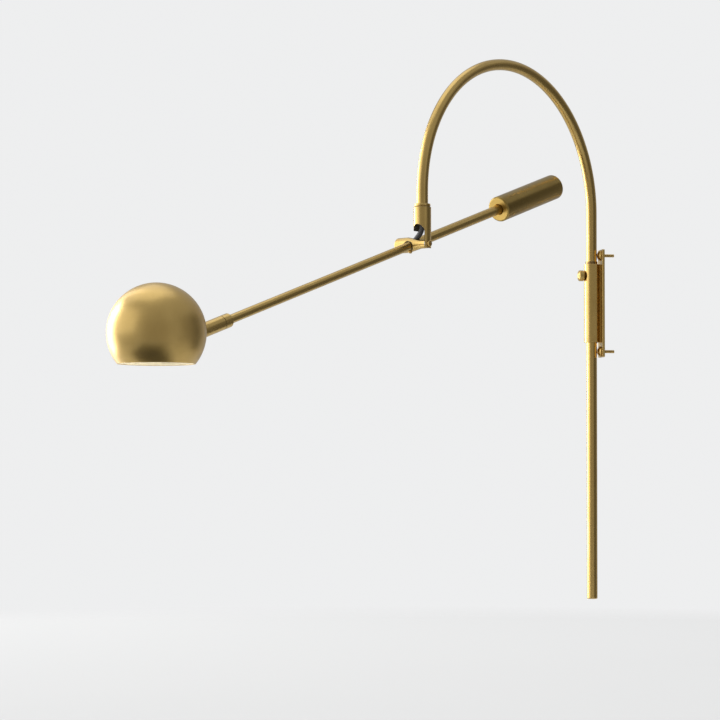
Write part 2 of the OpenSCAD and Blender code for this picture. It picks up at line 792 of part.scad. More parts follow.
module rear_rod() {
    edge = rod_chamfer;
    color(brass) boom_frame() {
        bar_x(rear_r, rod_end + edge, -chamber_half);
        cone_x(rear_r - edge, rear_r, rod_end, rod_end + edge);
    }
}

module boom_cable() {
    color(dark_flex) boom_frame() {
        sphere(r = cable_r);
        bar_x(cable_r, 0, neck_spigot_end);
    }
}

module neck_collar() {
    groove_half = stop_screw_d / 2 + groove_gap;
    spigot_r = neck_spigot_d / 2;
    color(brass) boom_frame() difference() {
        union() {
            cone_x(neck_d / 2 - collar_chamfer, neck_d / 2, collar_back,
                   collar_back + collar_chamfer);
            bar_x(neck_d / 2, collar_back + collar_chamfer, collar_front);
            bar_x(spigot_r, collar_front - over, neck_spigot_end);
        }
        bar_x(front_r + seat_gap, collar_back - over, collar_back + collar_seat);
        bar_x(cable_bore_r, collar_back, neck_spigot_end + over);
        difference() {
            bar_x(spigot_r + over, stop_at - groove_half, stop_at + groove_half);
            bar_x(spigot_r - stop_groove, stop_at - groove_half - over,
                  stop_at + groove_half + over);
        }
    }
}

// Counterweight, which slides on the rear rod
module counterweight() {
    near = -weight_start;
    far = near - weight_l;
    r = weight_d / 2;
    bore_r = rear_r + run_gap;
    color(brass) boom_frame() difference() {
        union() {
            cone_x(r - weight_chamfer, r, far, far + weight_chamfer);
            bar_x(r, far + weight_chamfer, near - weight_chamfer);
            cone_x(r, r - weight_chamfer, near - weight_chamfer, near);
        }
        bar_x(bore_r, far + weight_end, near + over);
        cone_x(bore_r, bore_r + mouth_chamfer, near - mouth_chamfer, near + skin);
        translate([near - weight_screw_at, 0, -r - over])
            cylinder(r = weight_screw_d / 2 + seat_gap, h = r + over);
    }
}

module weight_screw() {
    depth = weight_d / 2 - weight_screw_sunk;
    color(bright_steel) boom_frame()
        translate([-weight_start - weight_screw_at, 0, -depth]) difference() {
            cylinder(r = weight_screw_d / 2, h = depth - rear_r - face_gap);
            hex_socket(weight_screw_d);
        }
}

// Neck, which turns on the collar's spigot and holds the ball
module neck_barrel() {
    color(brass) boom_frame() difference() {
        union() {
            bar_x(neck_d / 2, neck_barrel_back, cap_start);
            bar_x(thread_r - seat_gap, cap_start - over, thread_end);
        }
        bar_x(neck_spigot_d / 2 + run_gap, neck_barrel_back - over, neck_spigot_end + end_gap);
        bar_x(cable_r, neck_spigot_end, shoulder + over);
        bar_x(seat_r, shoulder, thread_end + over);
        translate([stop_at, 0, -neck_d]) cylinder(r = stop_screw_d / 2 + seat_gap, h = neck_d);
    }
}

module stop_screw() {
    depth = neck_d / 2 - stop_screw_sunk;
    tip = neck_spigot_d / 2 - stop_groove + face_gap;
    color(bright_steel) boom_frame() translate([stop_at, 0, -depth]) difference() {
        cylinder(r = stop_screw_d / 2, h = depth - tip);
        hex_socket(stop_screw_d);
    }
}

module seat_spring() {
    color(bright_steel) boom_frame() difference() {
        bar_x(seat_r - run_gap, shoulder, seat_back);
        bar_x(seat_r - seat_spring_w, shoulder - over, seat_back + over);
    }
}

module ball_seat() {
    color(pale_nylon) boom_frame() difference() {
        bar_x(seat_r - seat_gap, seat_back, boom_reach - seat_back_off);
        bar_x(cable_bore_r, seat_back - over, boom_reach);
        translate([boom_reach, 0, 0]) sphere(r = socket_r);
    }
}

module neck_cap() {
    lip_r = sqrt(pow(socket_r, 2) - pow(lip_front, 2)) + lip_w;
    color(brass) boom_frame() difference() {
        union() {
            bar_x(neck_d / 2, cap_start, boom_reach + cap_cone_at);
            cone_x(neck_d / 2, lip_r, boom_reach + cap_cone_at, boom_reach + lip_front);
        }
        bar_x(thread_r, cap_start - over, thread_end);
        bar_x(seat_r + seat_gap, thread_end - over, boom_reach - seat_back_off + over);
        translate([boom_reach, 0, 0]) sphere(r = socket_r);
    }
}

module neck_lead() {
    color(dark_flex) boom_frame()
        bar_x(lead_r, neck_spigot_end + cable_end_gap, boom_reach - ball_r - cable_end_gap);
}

// Shade, which tilts with the ball
module ball_stud() {
    color(bright_steel) stud_frame() difference() {
        union() {
            sphere(r = ball_r);
            bar_x(waist_d / 2, 0, flange_end);
            bar_x(nipple_r + flange_w, flange_start, flange_end);
            bar_x(nipple_r, flange_start, nipple_end);
        }
        bar_x(lead_r + cable_gap / 2, -ball_r - over, nipple_end + over);
    }
}

// Washer outside the shade, with its front face dished to sit on the sphere
module outer_washer() {
    bore_r = nipple_r + seat_gap;
    rim_r = outer_washer_d / 2;
    color(brass) stud_frame() rotate([0, 90, 0]) rotate_extrude() polygon([
        [bore_r, flange_end], [rim_r, flange_end],
        [rim_r, wall_at(shade_r, rim_r) - wall_gap], [bore_r, wall_at(shade_r, bore_r) - wall_gap]
    ]);
}

module shade_shell() {
    cut_r = shade_r + over;
    color(brass) shade_frame() difference() {
        sphere(r = shade_r);
        sphere(r = shade_in_r);
        translate([-cut_r, -cut_r, -cut_r]) cube([2 * cut_r, 2 * cut_r, cut_r - rim_drop]);
        rotate([0, stud_lat, 0]) bar_x(nipple_r + seat_gap, -cut_r, 0);
    }
}

module inner_washer() {
    bore_r = nipple_r + seat_gap;
    rim_r = inner_washer_d / 2;
    color(bright_steel) stud_frame() rotate([0, 90, 0]) rotate_extrude() polygon([
        [bore_r, wall_at(shade_in_r, bore_r) + wall_gap],
        [rim_r, wall_at(shade_in_r, rim_r) + wall_gap],
        [rim_r, nut_start], [bore_r, nut_start]
    ]);
}

module stud_nut() {
    color(bright_steel) stud_frame() difference() {
        translate([nut_start, 0, 0]) rotate([0, 90, 0]) hex_bar(stud_nut_af, stud_nut_h);
        bar_x(nipple_r + seat_gap, nut_start - over, holder_start + over);
    }
}

module lampholder() {
    shell_r = shell_bore / 2 + shell_wall + seat_gap;
    edge = holder_chamfer;
    color("black") stud_frame() difference() {
        union() {
            cone_x(holder_d / 2 - edge, holder_d / 2, holder_start, holder_start + edge);
            bar_x(holder_d / 2, holder_start + edge, holder_end);
        }
        bar_x(nipple_r + seat_gap, holder_start - over, nipple_end);
        bar_x(lead_r + cable_gap, nipple_end - over, contact_start + over);
        bar_x(shell_r, contact_start, holder_end + over);
    }
}

module screw_shell() {
    shell_r = shell_bore / 2 + shell_wall;
    color(bright_steel) stud_frame() difference() {
        bar_x(shell_r, shell_start, holder_end);
        bar_x(shell_bore / 2, shell_start - over, holder_end + over);
    }
}

module centre_contact() {
    color(bright_steel) stud_frame()
        bar_x(contact_d / 2, contact_start, contact_start + contact_t);
}

module bulb_cap() {
    cap_r = shell_bore / 2 - run_gap;
    color(bright_steel) stud_frame() {
        cone_x(cap_tip_d / 2, cap_r, bulb_start, bulb_start + cap_taper);
        bar_x(cap_r, bulb_start + cap_taper, bulb_start + cap_l);
    }
}

module bulb_glass() {
    cap_end = bulb_start + cap_l;
    neck_r = shell_bore / 2 - run_gap;
    color("white") stud_frame() difference() {
        union() {
            translate([globe_at, 0, 0]) sphere(r = globe_d / 2);
            bar_x(neck_r, cap_end, globe_at);
        }
        translate([globe_at, 0, 0]) sphere(r = globe_d / 2 - glass_t);
        bar_x(neck_r - glass_t, cap_end - over, globe_at);
    }
}

module shade_lead() {
    color(dark_flex) stud_frame() bar_x(lead_r, -ball_r + end_gap, contact_start);
}

wall_plate();
wall_screws();
sleeve_block();
sleeve_screws();
lock_knob();
liner_bush();
stem_tube();
stem_gland();
stem_cable();
swivel_spigot();
swivel_washer();
swivel_nut();
knuckle();
friction_washer();
link_cable();
cross_barrel();
pivot_screw();
pivot_washer();
boom_tube();
boom_screw();
rear_rod();
boom_cable();
neck_collar();
counterweight();
weight_screw();
neck_barrel();
stop_screw();
seat_spring();
ball_seat();
neck_cap();
neck_lead();
ball_stud();
outer_washer();
shade_shell();
inner_washer();
stud_nut();
lampholder();
screw_shell();
centre_contact();
bulb_cap();
bulb_glass();
shade_lead();
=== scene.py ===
# %% [markdown]
# A curved brass wall light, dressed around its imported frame.
#
# The frame holds every part as an exact solid, in metres: +Z is up, the wall is the plane y = 0
# and the room lies towards -Y. Each step below makes one piece or one finish. The pieces that
# show are rebuilt from simple starting shapes, so that they get soft edges, fine detail and a
# grain that follows the metal. The hidden ones keep their solids and get a finish of their own.

# %% Load the frame
import json
import math

import bpy
from mathutils import Matrix, Vector


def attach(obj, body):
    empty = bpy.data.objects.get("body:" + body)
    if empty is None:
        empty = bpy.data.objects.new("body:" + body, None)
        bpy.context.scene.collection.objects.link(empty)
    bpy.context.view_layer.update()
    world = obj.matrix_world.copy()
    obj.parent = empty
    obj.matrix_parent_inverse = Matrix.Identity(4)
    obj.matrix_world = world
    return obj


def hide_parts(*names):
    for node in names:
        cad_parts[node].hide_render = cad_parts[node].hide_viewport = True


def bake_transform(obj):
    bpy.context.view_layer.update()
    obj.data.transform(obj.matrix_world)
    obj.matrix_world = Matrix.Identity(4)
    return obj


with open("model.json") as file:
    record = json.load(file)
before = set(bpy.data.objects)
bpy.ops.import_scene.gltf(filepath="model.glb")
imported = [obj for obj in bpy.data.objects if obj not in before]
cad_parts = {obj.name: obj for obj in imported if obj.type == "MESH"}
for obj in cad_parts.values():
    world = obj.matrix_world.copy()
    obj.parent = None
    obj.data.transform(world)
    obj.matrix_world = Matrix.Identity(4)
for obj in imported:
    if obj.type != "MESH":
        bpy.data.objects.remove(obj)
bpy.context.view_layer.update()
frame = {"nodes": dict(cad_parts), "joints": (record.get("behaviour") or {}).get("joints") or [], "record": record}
nodes = frame["nodes"]
joints = {joint["name"]: joint for joint in frame["joints"]}
MM = 0.001
QUARTER = math.radians(90)

# %% [markdown]
# The camera comes first. The photograph was taken nearly along the wall, from the arm's side, with
# a long lens held low. Here the camera stands as low. Half of the way up to the light comes from
# a small tilt and half from the lens shift, so that the stem stays upright in the picture.

# %% Camera
VIEW_FROM = (2.9413, -0.7574, -0.2132)
VIEW_TURN, VIEW_TILT = math.radians(8.9), math.radians(1.375)
LENS, SHIFT_UP = 125.25, 1 / 12
camera_data = bpy.data.cameras.new("camera")
camera_data.lens = LENS
camera_data.shift_y = SHIFT_UP
camera_data.clip_end = 60
camera = bpy.data.objects.new("camera", camera_data)
camera.location = VIEW_FROM
camera.rotation_euler = (QUARTER + VIEW_TILT, 0, QUARTER - VIEW_TURN)
bpy.context.scene.collection.objects.link(camera)
bpy.context.scene.camera = camera
print("camera at", tuple(round(c, 3) for c in camera.location))

# %% [markdown]
# Each group of pieces has a frame of its own, read from the joints in the record. In the arm's
# frame +X runs out along the arch and +Z is up. In the boom's frame +X runs from the pivot to the
# shade and +Y along the cross barrel. A piece is modelled at the origin of its frame and put in
# place at the end. The sizes of pieces are in millimetres.

# %% Local frames
UP, TO_ROOM, RIGHT = Vector((0, 0, 1)), Vector((0, -1, 0)), Vector((1, 0, 0))
BOOM_REACH, SHADE_AT, KNOB_Z = 356, 59, 33.4
STUD_RISE = math.radians(15.9)


def frame_at(origin, along, side):
    """A frame with +X along a piece and +Y to its side."""
    turn = Matrix((along, side, along.cross(side))).transposed().to_4x4()
    return Matrix.Translation(origin) @ turn


def at(x, y, z):
    """A move in millimetres."""
    return Matrix.Translation((x * MM, y * MM, z * MM))


stem_axis = Vector(joints["stem_swing"]["pos_m"])
pivot = Vector(joints["boom_tilt"]["pos_m"])
ball = Vector(joints["shade_tilt"]["pos_m"])
across = Vector(joints["boom_tilt"]["axis"]).normalized()
along_boom = Vector(joints["neck_turn"]["axis"]).normalized()
arm_way = across.cross(UP)

boom_place = frame_at(ball - along_boom * BOOM_REACH * MM, along_boom, across)
stud_place = Matrix.Translation(ball) @ Matrix.Rotation(-STUD_RISE, 4, across) \
    @ frame_at(Vector(), along_boom, across)
arm_place = frame_at(stem_axis, arm_way, across)
below_arch_end = Vector((pivot.x, pivot.y, 0))
arch_end = frame_at(below_arch_end, UP, across)
stem_place = frame_at(stem_axis, UP, across)
wall_place = Matrix.Translation(stem_axis)
knob_place = frame_at(stem_axis + Vector((0, 0, KNOB_Z * MM)), TO_ROOM, RIGHT)
shade_place = frame_at(stud_place @ Vector((SHADE_AT * MM, 0, 0)), UP, across)
print("the arm runs", tuple(round(c, 3) for c in arm_way))

# %% [markdown]
# Most pieces of such a light are turned on a lathe. Here that is done by hand: a circle is added,
# its ring is extruded along the axis step by step, and each new ring is scaled to its radius. A
# solid piece gets its two ends filled, and one with a bore gets its first and last rings bridged.
# A spun profile would do as well, but it leaves a seam that has to be merged.

# %% Turning on the lathe


def only(piece):
    """Make a piece the one that is selected and active."""
    if bpy.context.object and bpy.context.object.mode != "OBJECT":
        bpy.ops.object.mode_set(mode="OBJECT")
    bpy.ops.object.select_all(action="DESELECT")
    if piece:
        piece.select_set(True)
        bpy.context.view_layer.objects.active = piece


def open_ring(name, sides, radius, place, turn=0.0):
    """Start a piece as one ring, in edit mode with the ring selected."""
    only(None)
    bpy.ops.mesh.primitive_circle_add(
        vertices=sides, radius=radius * MM, location=tuple(c * MM for c in place),
        rotation=(0, turn, 0))
    piece = bpy.context.object
    piece.name = piece.data.name = name
    bpy.ops.object.transform_apply(location=True, rotation=True, scale=True)
    bpy.ops.object.mode_set(mode="EDIT")
    bpy.ops.mesh.select_all(action="SELECT")
    return piece


def pull(x, y, z):
    """Extrude what is selected."""
    bpy.ops.mesh.extrude_region_move(TRANSFORM_OT_translate={"value": (x * MM, y * MM, z * MM)})


def close_mesh(fill):
    """Fill the open ends if asked, turn the faces outwards and leave edit mode."""
    if fill:
        bpy.ops.mesh.select_all(action="SELECT")
        bpy.ops.mesh.fill_holes(sides=0)
    bpy.ops.mesh.select_all(action="SELECT")
    bpy.ops.mesh.normals_make_consistent(inside=False)
    bpy.ops.object.mode_set(mode="OBJECT")


def turned(name, rings, sides=96, bored=False):
    """A piece turned about X from rings of (place along X, radius)."""
    first, radius = rings[0]
    piece = open_ring(name, sides, radius, (first, 0, 0), QUARTER)
    for (x0, r0), (x1, r1) in zip(rings, rings[1:]):
        pull(x1 - x0, 0, 0)
        if r1 != r0:
            bpy.ops.transform.resize(
                value=(1, r1 / r0, r1 / r0), center_override=(x1 * MM, 0, 0))
    bpy.ops.mesh.select_mode(type="EDGE")
    if bored:
        bpy.ops.mesh.select_all(action="DESELECT")
        bpy.ops.mesh.select_non_manifold()
        bpy.ops.mesh.bridge_edge_loops()
    close_mesh(fill=not bored)
    return piece


def bar(name, radius, start, end, sides=96):
    """A round bar along X for cutting with."""
    return turned(name, [(start, radius), (end, radius)], sides)


def block(name, low, high):
    """A box between two corners."""
    only(None)
    middle = (Vector(low) + Vector(high)) / 2 * MM
    extent = (Vector(high) - Vector(low)) * MM
    bpy.ops.mesh.primitive_cube_add(size=1, location=middle, scale=extent)
    piece = bpy.context.object
    piece.name = piece.data.name = name
    bpy.ops.object.transform_apply(location=True, rotation=True, scale=True)
    return piece


print("lathe ready")

# %% [markdown]
# Holes and windows are cut as on the real part: a cutter of the hole's size is taken away with a
# Boolean, which is applied at once. Then every sharp edge gets a small bevel, because no machined
# edge is perfectly sharp and it is the bevel that catches the light.

# %% Cutting and breaking edges
X_TO_Y = Matrix.Rotation(QUARTER, 4, "Z")
X_TO_Z = Matrix.Rotation(-QUARTER, 4, "Y")
X_DOWN = Matrix.Rotation(QUARTER, 4, "Y")
WELD = 0.005


def apply(piece, kind, **settings):
    """Add a modifier with its settings and apply it at once."""
    only(piece)
    change = piece.modifiers.new(kind.lower(), kind)
    for name, value in settings.items():
        setattr(change, name, value)
    bpy.ops.object.modifier_apply(modifier=change.name)
    return piece


def moved(piece, place):
    """Turn and move a piece, and apply it, so that its object stays at the origin."""
    only(piece)
    piece.matrix_world = place
    bpy.ops.object.transform_apply(location=True, rotation=True, scale=True)
    return piece


def cut(piece, *cutters):
    """Take the cutters away from a piece."""
    for cutter in cutters:
        apply(piece, "BOOLEAN", object=cutter, operation="DIFFERENCE", solver="EXACT")
        bpy.data.objects.remove(cutter)
    only(piece)
    bpy.ops.object.mode_set(mode="EDIT")
    bpy.ops.mesh.select_all(action="SELECT")
    bpy.ops.mesh.remove_doubles(threshold=WELD * MM)
    bpy.ops.object.mode_set(mode="OBJECT")
    return piece


def break_edges(piece, width):
    """Round the sharp edges of a piece."""
    return apply(piece, "BEVEL", width=width * MM, segments=3, limit_method="ANGLE",
                 angle_limit=math.radians(30), use_clamp_overlap=False)


print("cutting tools ready")

# %% [markdown]
# The satin lines of a brushed or turned surface follow the piece, round bends too. So each piece
# stores where its lines run as an attribute before it is moved to its place: the first number
# counts along a line and the other two across it. The materials read that attribute, and so the
# lines neither slide nor break when the light is posed.

# %% Grain and placing


def brushed(x, y, z):
    """Lines that run along the piece's X axis."""
    return x, y, z


def upright(x, y, z):
    """Lines that run along the piece's Z axis."""
    return z, x, y


def lathed(x, y, z):
    """Lines that run round the X axis, as a lathe leaves them."""
    return 0, x, math.hypot(y, z)


def put(piece, place, body, stands_for, grain=brushed, edge=0.25, smooth=32):
    """Finish a piece, move it to its place and let it ride on its body."""
    if edge:
        break_edges(piece, edge)
    lines = []
    for corner in piece.data.vertices:
        lines.extend(grain(*corner.co))
    stored = piece.data.attributes.new("grain", "FLOAT_VECTOR", "POINT")
    stored.data.foreach_set("vector", lines)
    moved(piece, place)
    bpy.ops.object.shade_smooth_by_angle(angle=math.radians(smooth))
    apply(piece, "WEIGHTED_NORMAL", keep_sharp=True)
    slot = slot_of[stands_for[0]]
    if not piece.data.materials:
        piece.data.materials.append(finishes[slot])
    if body:
        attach(piece, body)
    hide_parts(*stands_for)
    print(f"{piece.name}: {len(piece.data.polygons)} faces")
    return piece


slot_of = {part["node"]: part["material_slot"] for part in frame["record"]["subparts"]}
print("slots:", sorted(set(slot_of.values())))

# %% [markdown]
# Metal and plastic get their look from a few effects that several finishes share: soft tarnish
# clouds, the fine lines of a satin surface, and the skin of a moulding. Each effect is one node
# group with named sockets, and it gives out a mask or a height only. The shader stays in the
# material, where each finish places the group with its own values.

# %% Building blocks for the finishes


def blank(owner):
    """Give a material or a world an empty node tree."""
    owner.use_nodes = True
    owner.node_tree.nodes.clear()
    return owner.node_tree


def add(tree, kind, inputs=None, **settings):
    """Add a node, set it up, and give each named input a value or a link."""
    made = tree.nodes.new("ShaderNode" + kind)
    for name, value in settings.items():
        setattr(made, name, value)
    for name, value in (inputs or {}).items():
        if isinstance(value, bpy.types.NodeSocket):
            tree.links.new(value, made.inputs[name])
        else:
            made.inputs[name].default_value = value
    return made


def effect(name, given, handed_out):
    """Start a node group: its inputs with their defaults, and its outputs."""
    group = bpy.data.node_groups.new(name, "ShaderNodeTree")
    for label, value in given.items():
        kind = "NodeSocketVector" if value is None else "NodeSocketFloat"
        socket = group.interface.new_socket(label, in_out="INPUT", socket_type=kind)
        if value is not None:
            socket.default_value = value
    for label in handed_out:
        group.interface.new_socket(label, in_out="OUTPUT", socket_type="NodeSocketFloat")
    start = group.nodes.new("NodeGroupInput").outputs
    end = group.nodes.new("NodeGroupOutput").inputs
    return group, start, end


def mask(tree, value, low, high, to_low=0.0, to_high=1.0):
    """Stretch the part of a value between low and high."""
    return add(tree, "MapRange", {"Value": value, "From Min": low, "From Max": high,
                                  "To Min": to_low, "To Max": to_high}).outputs[0]


def one_over(tree, size):
    """Turn a size in metres into a texture's scale."""
    return add(tree, "Math", {0: 1.0, 1: size}, operation="DIVIDE").outputs[0]


def mixed(tree, share, first, second):
    """Mix two colours by a share."""
    return add(tree, "Mix", {0: share, 6: first, 7: second}, data_type="RGBA").outputs[2]


print("building blocks ready")

# %% [markdown]
# Lacquered brass darkens in soft clouds of a few centimetres, with a few small specks where the
# lacquer has failed. Two noises at their own sizes give the two masks.

# %% Tarnish clouds
tarnish, start, end = effect(
    "tarnish clouds", {"Place": None, "Cloud Size": 0.03, "Speck Size": 0.0012},
    ["Cloud", "Speck"])
cloud_noise = add(tarnish, "TexNoise", {
    "Vector": start["Place"], "Scale": one_over(tarnish, start["Cloud Size"]), "Detail": 5.0,
    "Roughness": 0.6, "Distortion": 0.4})
tarnish.links.new(mask(tarnish, cloud_noise.outputs[0], 0.36, 0.66), end["Cloud"])
speck_noise = add(tarnish, "TexNoise", {
    "Vector": start["Place"], "Scale": one_over(tarnish, start["Speck Size"]), "Detail": 2.0,
    "Roughness": 0.5})
tarnish.links.new(mask(tarnish, speck_noise.outputs[0], 0.75, 0.82), end["Speck"])
print("tarnish clouds:", len(tarnish.nodes), "nodes")

# %% [markdown]
# Satin lines are a noise that is long one way and thin the other. It reads the piece's stored
# grain, so that the same group serves the straight tubes, the bent stem and the turned parts.

# %% Satin lines
satin, start, end = effect(
    "satin lines", {"Grain": None, "Line Length": 0.02, "Line Width": 0.0003}, ["Lines"])
ways = add(satin, "SeparateXYZ", {0: start["Grain"]})
along = add(satin, "Math", {0: ways.outputs[0], 1: start["Line Length"]}, operation="DIVIDE")
over = [add(satin, "Math", {0: ways.outputs[i], 1: start["Line Width"]}, operation="DIVIDE")
        for i in (1, 2)]
stretched = add(satin, "CombineXYZ", {0: along.outputs[0], 1: over[0].outputs[0],
                                      2: over[1].outputs[0]})
line_noise = add(satin, "TexNoise", {"Vector": stretched.outputs[0], "Scale": 1.0, "Detail": 3.0,
                                     "Roughness": 0.6})
satin.links.new(mask(satin, line_noise.outputs[0], 0.3, 0.7), end["Lines"])
print("satin lines:", len(satin.nodes), "nodes")

# %% [markdown]
# Paint, rubber and moulded plastic all have a fine uneven skin and a slow change of tone. One
# group gives both, and each finish says how large they are.

# %% Moulded skin
skin, start, end = effect(
    "moulded skin", {"Place": None, "Skin Size": 0.0008, "Patch Size": 0.02},
    ["Height", "Patch"])
skin_noise = add(skin, "TexNoise", {
    "Vector": start["Place"], "Scale": one_over(skin, start["Skin Size"]), "Detail": 3.0,
    "Roughness": 0.55})
skin.links.new(skin_noise.outputs[0], end["Height"])
patch_noise = add(skin, "TexNoise", {
    "Vector": start["Place"], "Scale": one_over(skin, start["Patch Size"]), "Detail": 4.0,
    "Roughness": 0.6})
skin.links.new(mask(skin, patch_noise.outputs[0], 0.3, 0.7), end["Patch"])
print("moulded skin:", len(skin.nodes), "nodes")

# %% [markdown]
# The brass is a metal with a thin clear lacquer. Its colour shifts between a clean tone and a
# browner one under the tarnish clouds, the lines change roughness and height a little, and the
# edges are rubbed brighter. The edge mask compares the true normal with one that a Bevel node has
# rounded, which costs a few rays but needs no painted map.

# %% Metal finishes
finishes = {}


def new_finish(name):
    """Start a material with a plain Principled shader."""
    finishes[name] = bpy.data.materials.new(name)
    tree = blank(finishes[name])
    shader = add(tree, "BsdfPrincipled")
    tree.links.new(shader.outputs[0], add(tree, "OutputMaterial").inputs[0])
    return tree, shader


def rubbed_edges(tree, radius):
    """A mask that is 1 on the edges of a piece."""
    rounded = add(tree, "Bevel", {"Radius": radius}, samples=4)
    straight = add(tree, "NewGeometry")
    likeness = add(tree, "VectorMath", {0: rounded.outputs[0], 1: straight.outputs["Normal"]},
                   operation="DOT_PRODUCT")
    return mask(tree, likeness.outputs["Value"], 0.99, 0.88)


def metal(name, clean, dull, bright, rough, lines=(0.02, 0.0003), clouds=0.03, coat=0.0,
          bump=0.03, clouding=0.45):
    """A satin metal with tarnish, grain and rubbed edges."""
    tree, shader = new_finish(name)
    place = add(tree, "TexCoord").outputs["Object"]
    grain = add(tree, "Attribute", attribute_name="grain").outputs["Vector"]
    spots = add(tree, "Group", node_tree=tarnish)
    tree.links.new(place, spots.inputs["Place"])
    spots.inputs["Cloud Size"].default_value = clouds
    brush = add(tree, "Group", node_tree=satin)
    tree.links.new(grain, brush.inputs["Grain"])
    brush.inputs["Line Length"].default_value, brush.inputs["Line Width"].default_value = lines
    edge = rubbed_edges(tree, 0.6 * MM)

    share = add(tree, "Math", {0: spots.outputs["Cloud"], 1: clouding}, operation="MULTIPLY")
    colour = mixed(tree, share.outputs[0], clean, dull)
    shade = mask(tree, brush.outputs["Lines"], 0.0, 1.0, 0.0, 0.12)
    colour = mixed(tree, shade, colour, dull)
    colour = mixed(tree, mask(tree, edge, 0.0, 1.0, 0.0, 0.7), colour, bright)
    dark = mask(tree, spots.outputs["Speck"], 0.0, 1.0, 0.0, 0.4)
    colour = mixed(tree, dark, colour, tuple(c * 0.3 for c in dull[:3]) + (1,))
    tree.links.new(colour, shader.inputs["Base Color"])

    dulling = mask(tree, spots.outputs["Cloud"], 0.0, 1.0, rough - 0.03, rough + 0.07)
    ridges = mask(tree, brush.outputs["Lines"], 0, 1, -0.03, 0.03)
    lined = add(tree, "Math", {0: dulling, 1: ridges})
    rubbed = add(tree, "Math", {0: lined.outputs[0], 1: mask(tree, edge, 0, 1, 0.0, 0.06)},
                 operation="SUBTRACT")
    tree.links.new(rubbed.outputs[0], shader.inputs["Roughness"])

    height = add(tree, "Math", {0: brush.outputs["Lines"], 1: spots.outputs["Speck"]},
                 operation="SUBTRACT")
    relief = add(tree, "Bump", {"Height": height.outputs[0], "Strength": bump,
                                "Distance": 0.0001})
    tree.links.new(relief.outputs[0], shader.inputs["Normal"])
    shader.inputs["Metallic"].default_value = 1.0
    shader.inputs["Coat Weight"].default_value = coat
    shader.inputs["Coat Roughness"].default_value = 0.12


metal("satin_brass", (0.62, 0.43, 0.145, 1), (0.48, 0.32, 0.095, 1), (0.80, 0.62, 0.30, 1), 0.27,
      coat=0.2)
# The counterweight's brass is a darker copy of the satin brass: painted shade, for the dark wall it faces.
metal("weight_brass", (0.35, 0.24, 0.07, 1), (0.26, 0.175, 0.048, 1), (0.72, 0.56, 0.27, 1), 0.3,
      lines=(0.05, 0.00035), coat=0.05)
metal("shade_brass", (0.64, 0.445, 0.155, 1), (0.51, 0.345, 0.11, 1), (0.80, 0.62, 0.30, 1), 0.35,
      lines=(0.05, 0.0005), clouds=0.045, coat=0.2)
# A darker metal for the liner, so that its top shows as a dark ring above the sleeve.
metal("dark_liner_metal", (0.30, 0.19, 0.075, 1), (0.20, 0.125, 0.05, 1), (0.55, 0.40, 0.2, 1), 0.33)
metal("steel", (0.58, 0.57, 0.55, 1), (0.36, 0.34, 0.31, 1), (0.78, 0.77, 0.75, 1), 0.28,
      clouds=0.01)
metal("cap_metal", (0.72, 0.71, 0.69, 1), (0.5, 0.49, 0.46, 1), (0.85, 0.84, 0.82, 1), 0.33,
      clouds=0.012)
metal("contact_brass", (0.8, 0.62, 0.3, 1), (0.55, 0.38, 0.16, 1), (0.9, 0.75, 0.45, 1), 0.22,
      clouds=0.008)
print("metals:", ", ".join(finishes))

# %% [markdown]
# The inside of the shade is painted a warm off-white that throws the light down. The lampholder is
# black moulded resin, the cable has a matt sheath, the ball sits in nylon and the swivel on a
# fibre washer. They share the moulded skin, each at its own scale.

# %% Paint, plastic and rubber


def moulded(name, tone, shade, rough, skin_size, patch_size, bump):
    """A paint, plastic or rubber with an uneven skin and a slow change of tone."""
    tree, shader = new_finish(name)
    place = add(tree, "TexCoord").outputs["Object"]
    surface = add(tree, "Group", node_tree=skin)
    tree.links.new(place, surface.inputs["Place"])
    surface.inputs["Skin Size"].default_value = skin_size
    surface.inputs["Patch Size"].default_value = patch_size
    colour = mixed(tree, surface.outputs["Patch"], tone, shade)
    tree.links.new(colour, shader.inputs["Base Color"])
    tree.links.new(mask(tree, surface.outputs["Patch"], 0, 1, rough - 0.05, rough + 0.08),
                   shader.inputs["Roughness"])
    relief = add(tree, "Bump", {"Height": surface.outputs["Height"], "Strength": bump,
                                "Distance": 0.0003})
    tree.links.new(relief.outputs[0], shader.inputs["Normal"])


moulded("shade_paint", (0.86, 0.81, 0.68, 1), (0.81, 0.76, 0.63, 1), 0.42, 0.0012, 0.03, 0.12)
moulded("phenolic", (0.016, 0.013, 0.011, 1), (0.028, 0.023, 0.019, 1), 0.3, 0.0007, 0.012, 0.08)
moulded("cable", (0.014, 0.014, 0.015, 1), (0.024, 0.024, 0.025, 1), 0.52, 0.0005, 0.01, 0.25)
moulded("nylon", (0.72, 0.70, 0.63, 1), (0.64, 0.62, 0.55, 1), 0.45, 0.0006, 0.006, 0.1)
# A near-black finish for the inside of the knuckle and the barrel's mouth: painted shade, where these hollows lie
# in shadow.
moulded("painted_shade_bore", (0.030, 0.022, 0.012, 1), (0.050, 0.038, 0.020, 1), 0.6, 0.0004, 0.004, 0.2)
moulded("fibre", (0.020, 0.017, 0.014, 1), (0.045, 0.037, 0.030, 1), 0.8, 0.0003, 0.002, 0.5)
print("mouldings:", len(finishes), "finishes so far")

# %% [markdown]
# The bulb's glass is opal: white inside, with a clean gloss outside. A little transmission lets
# light into it, and a coat gives the glass skin.

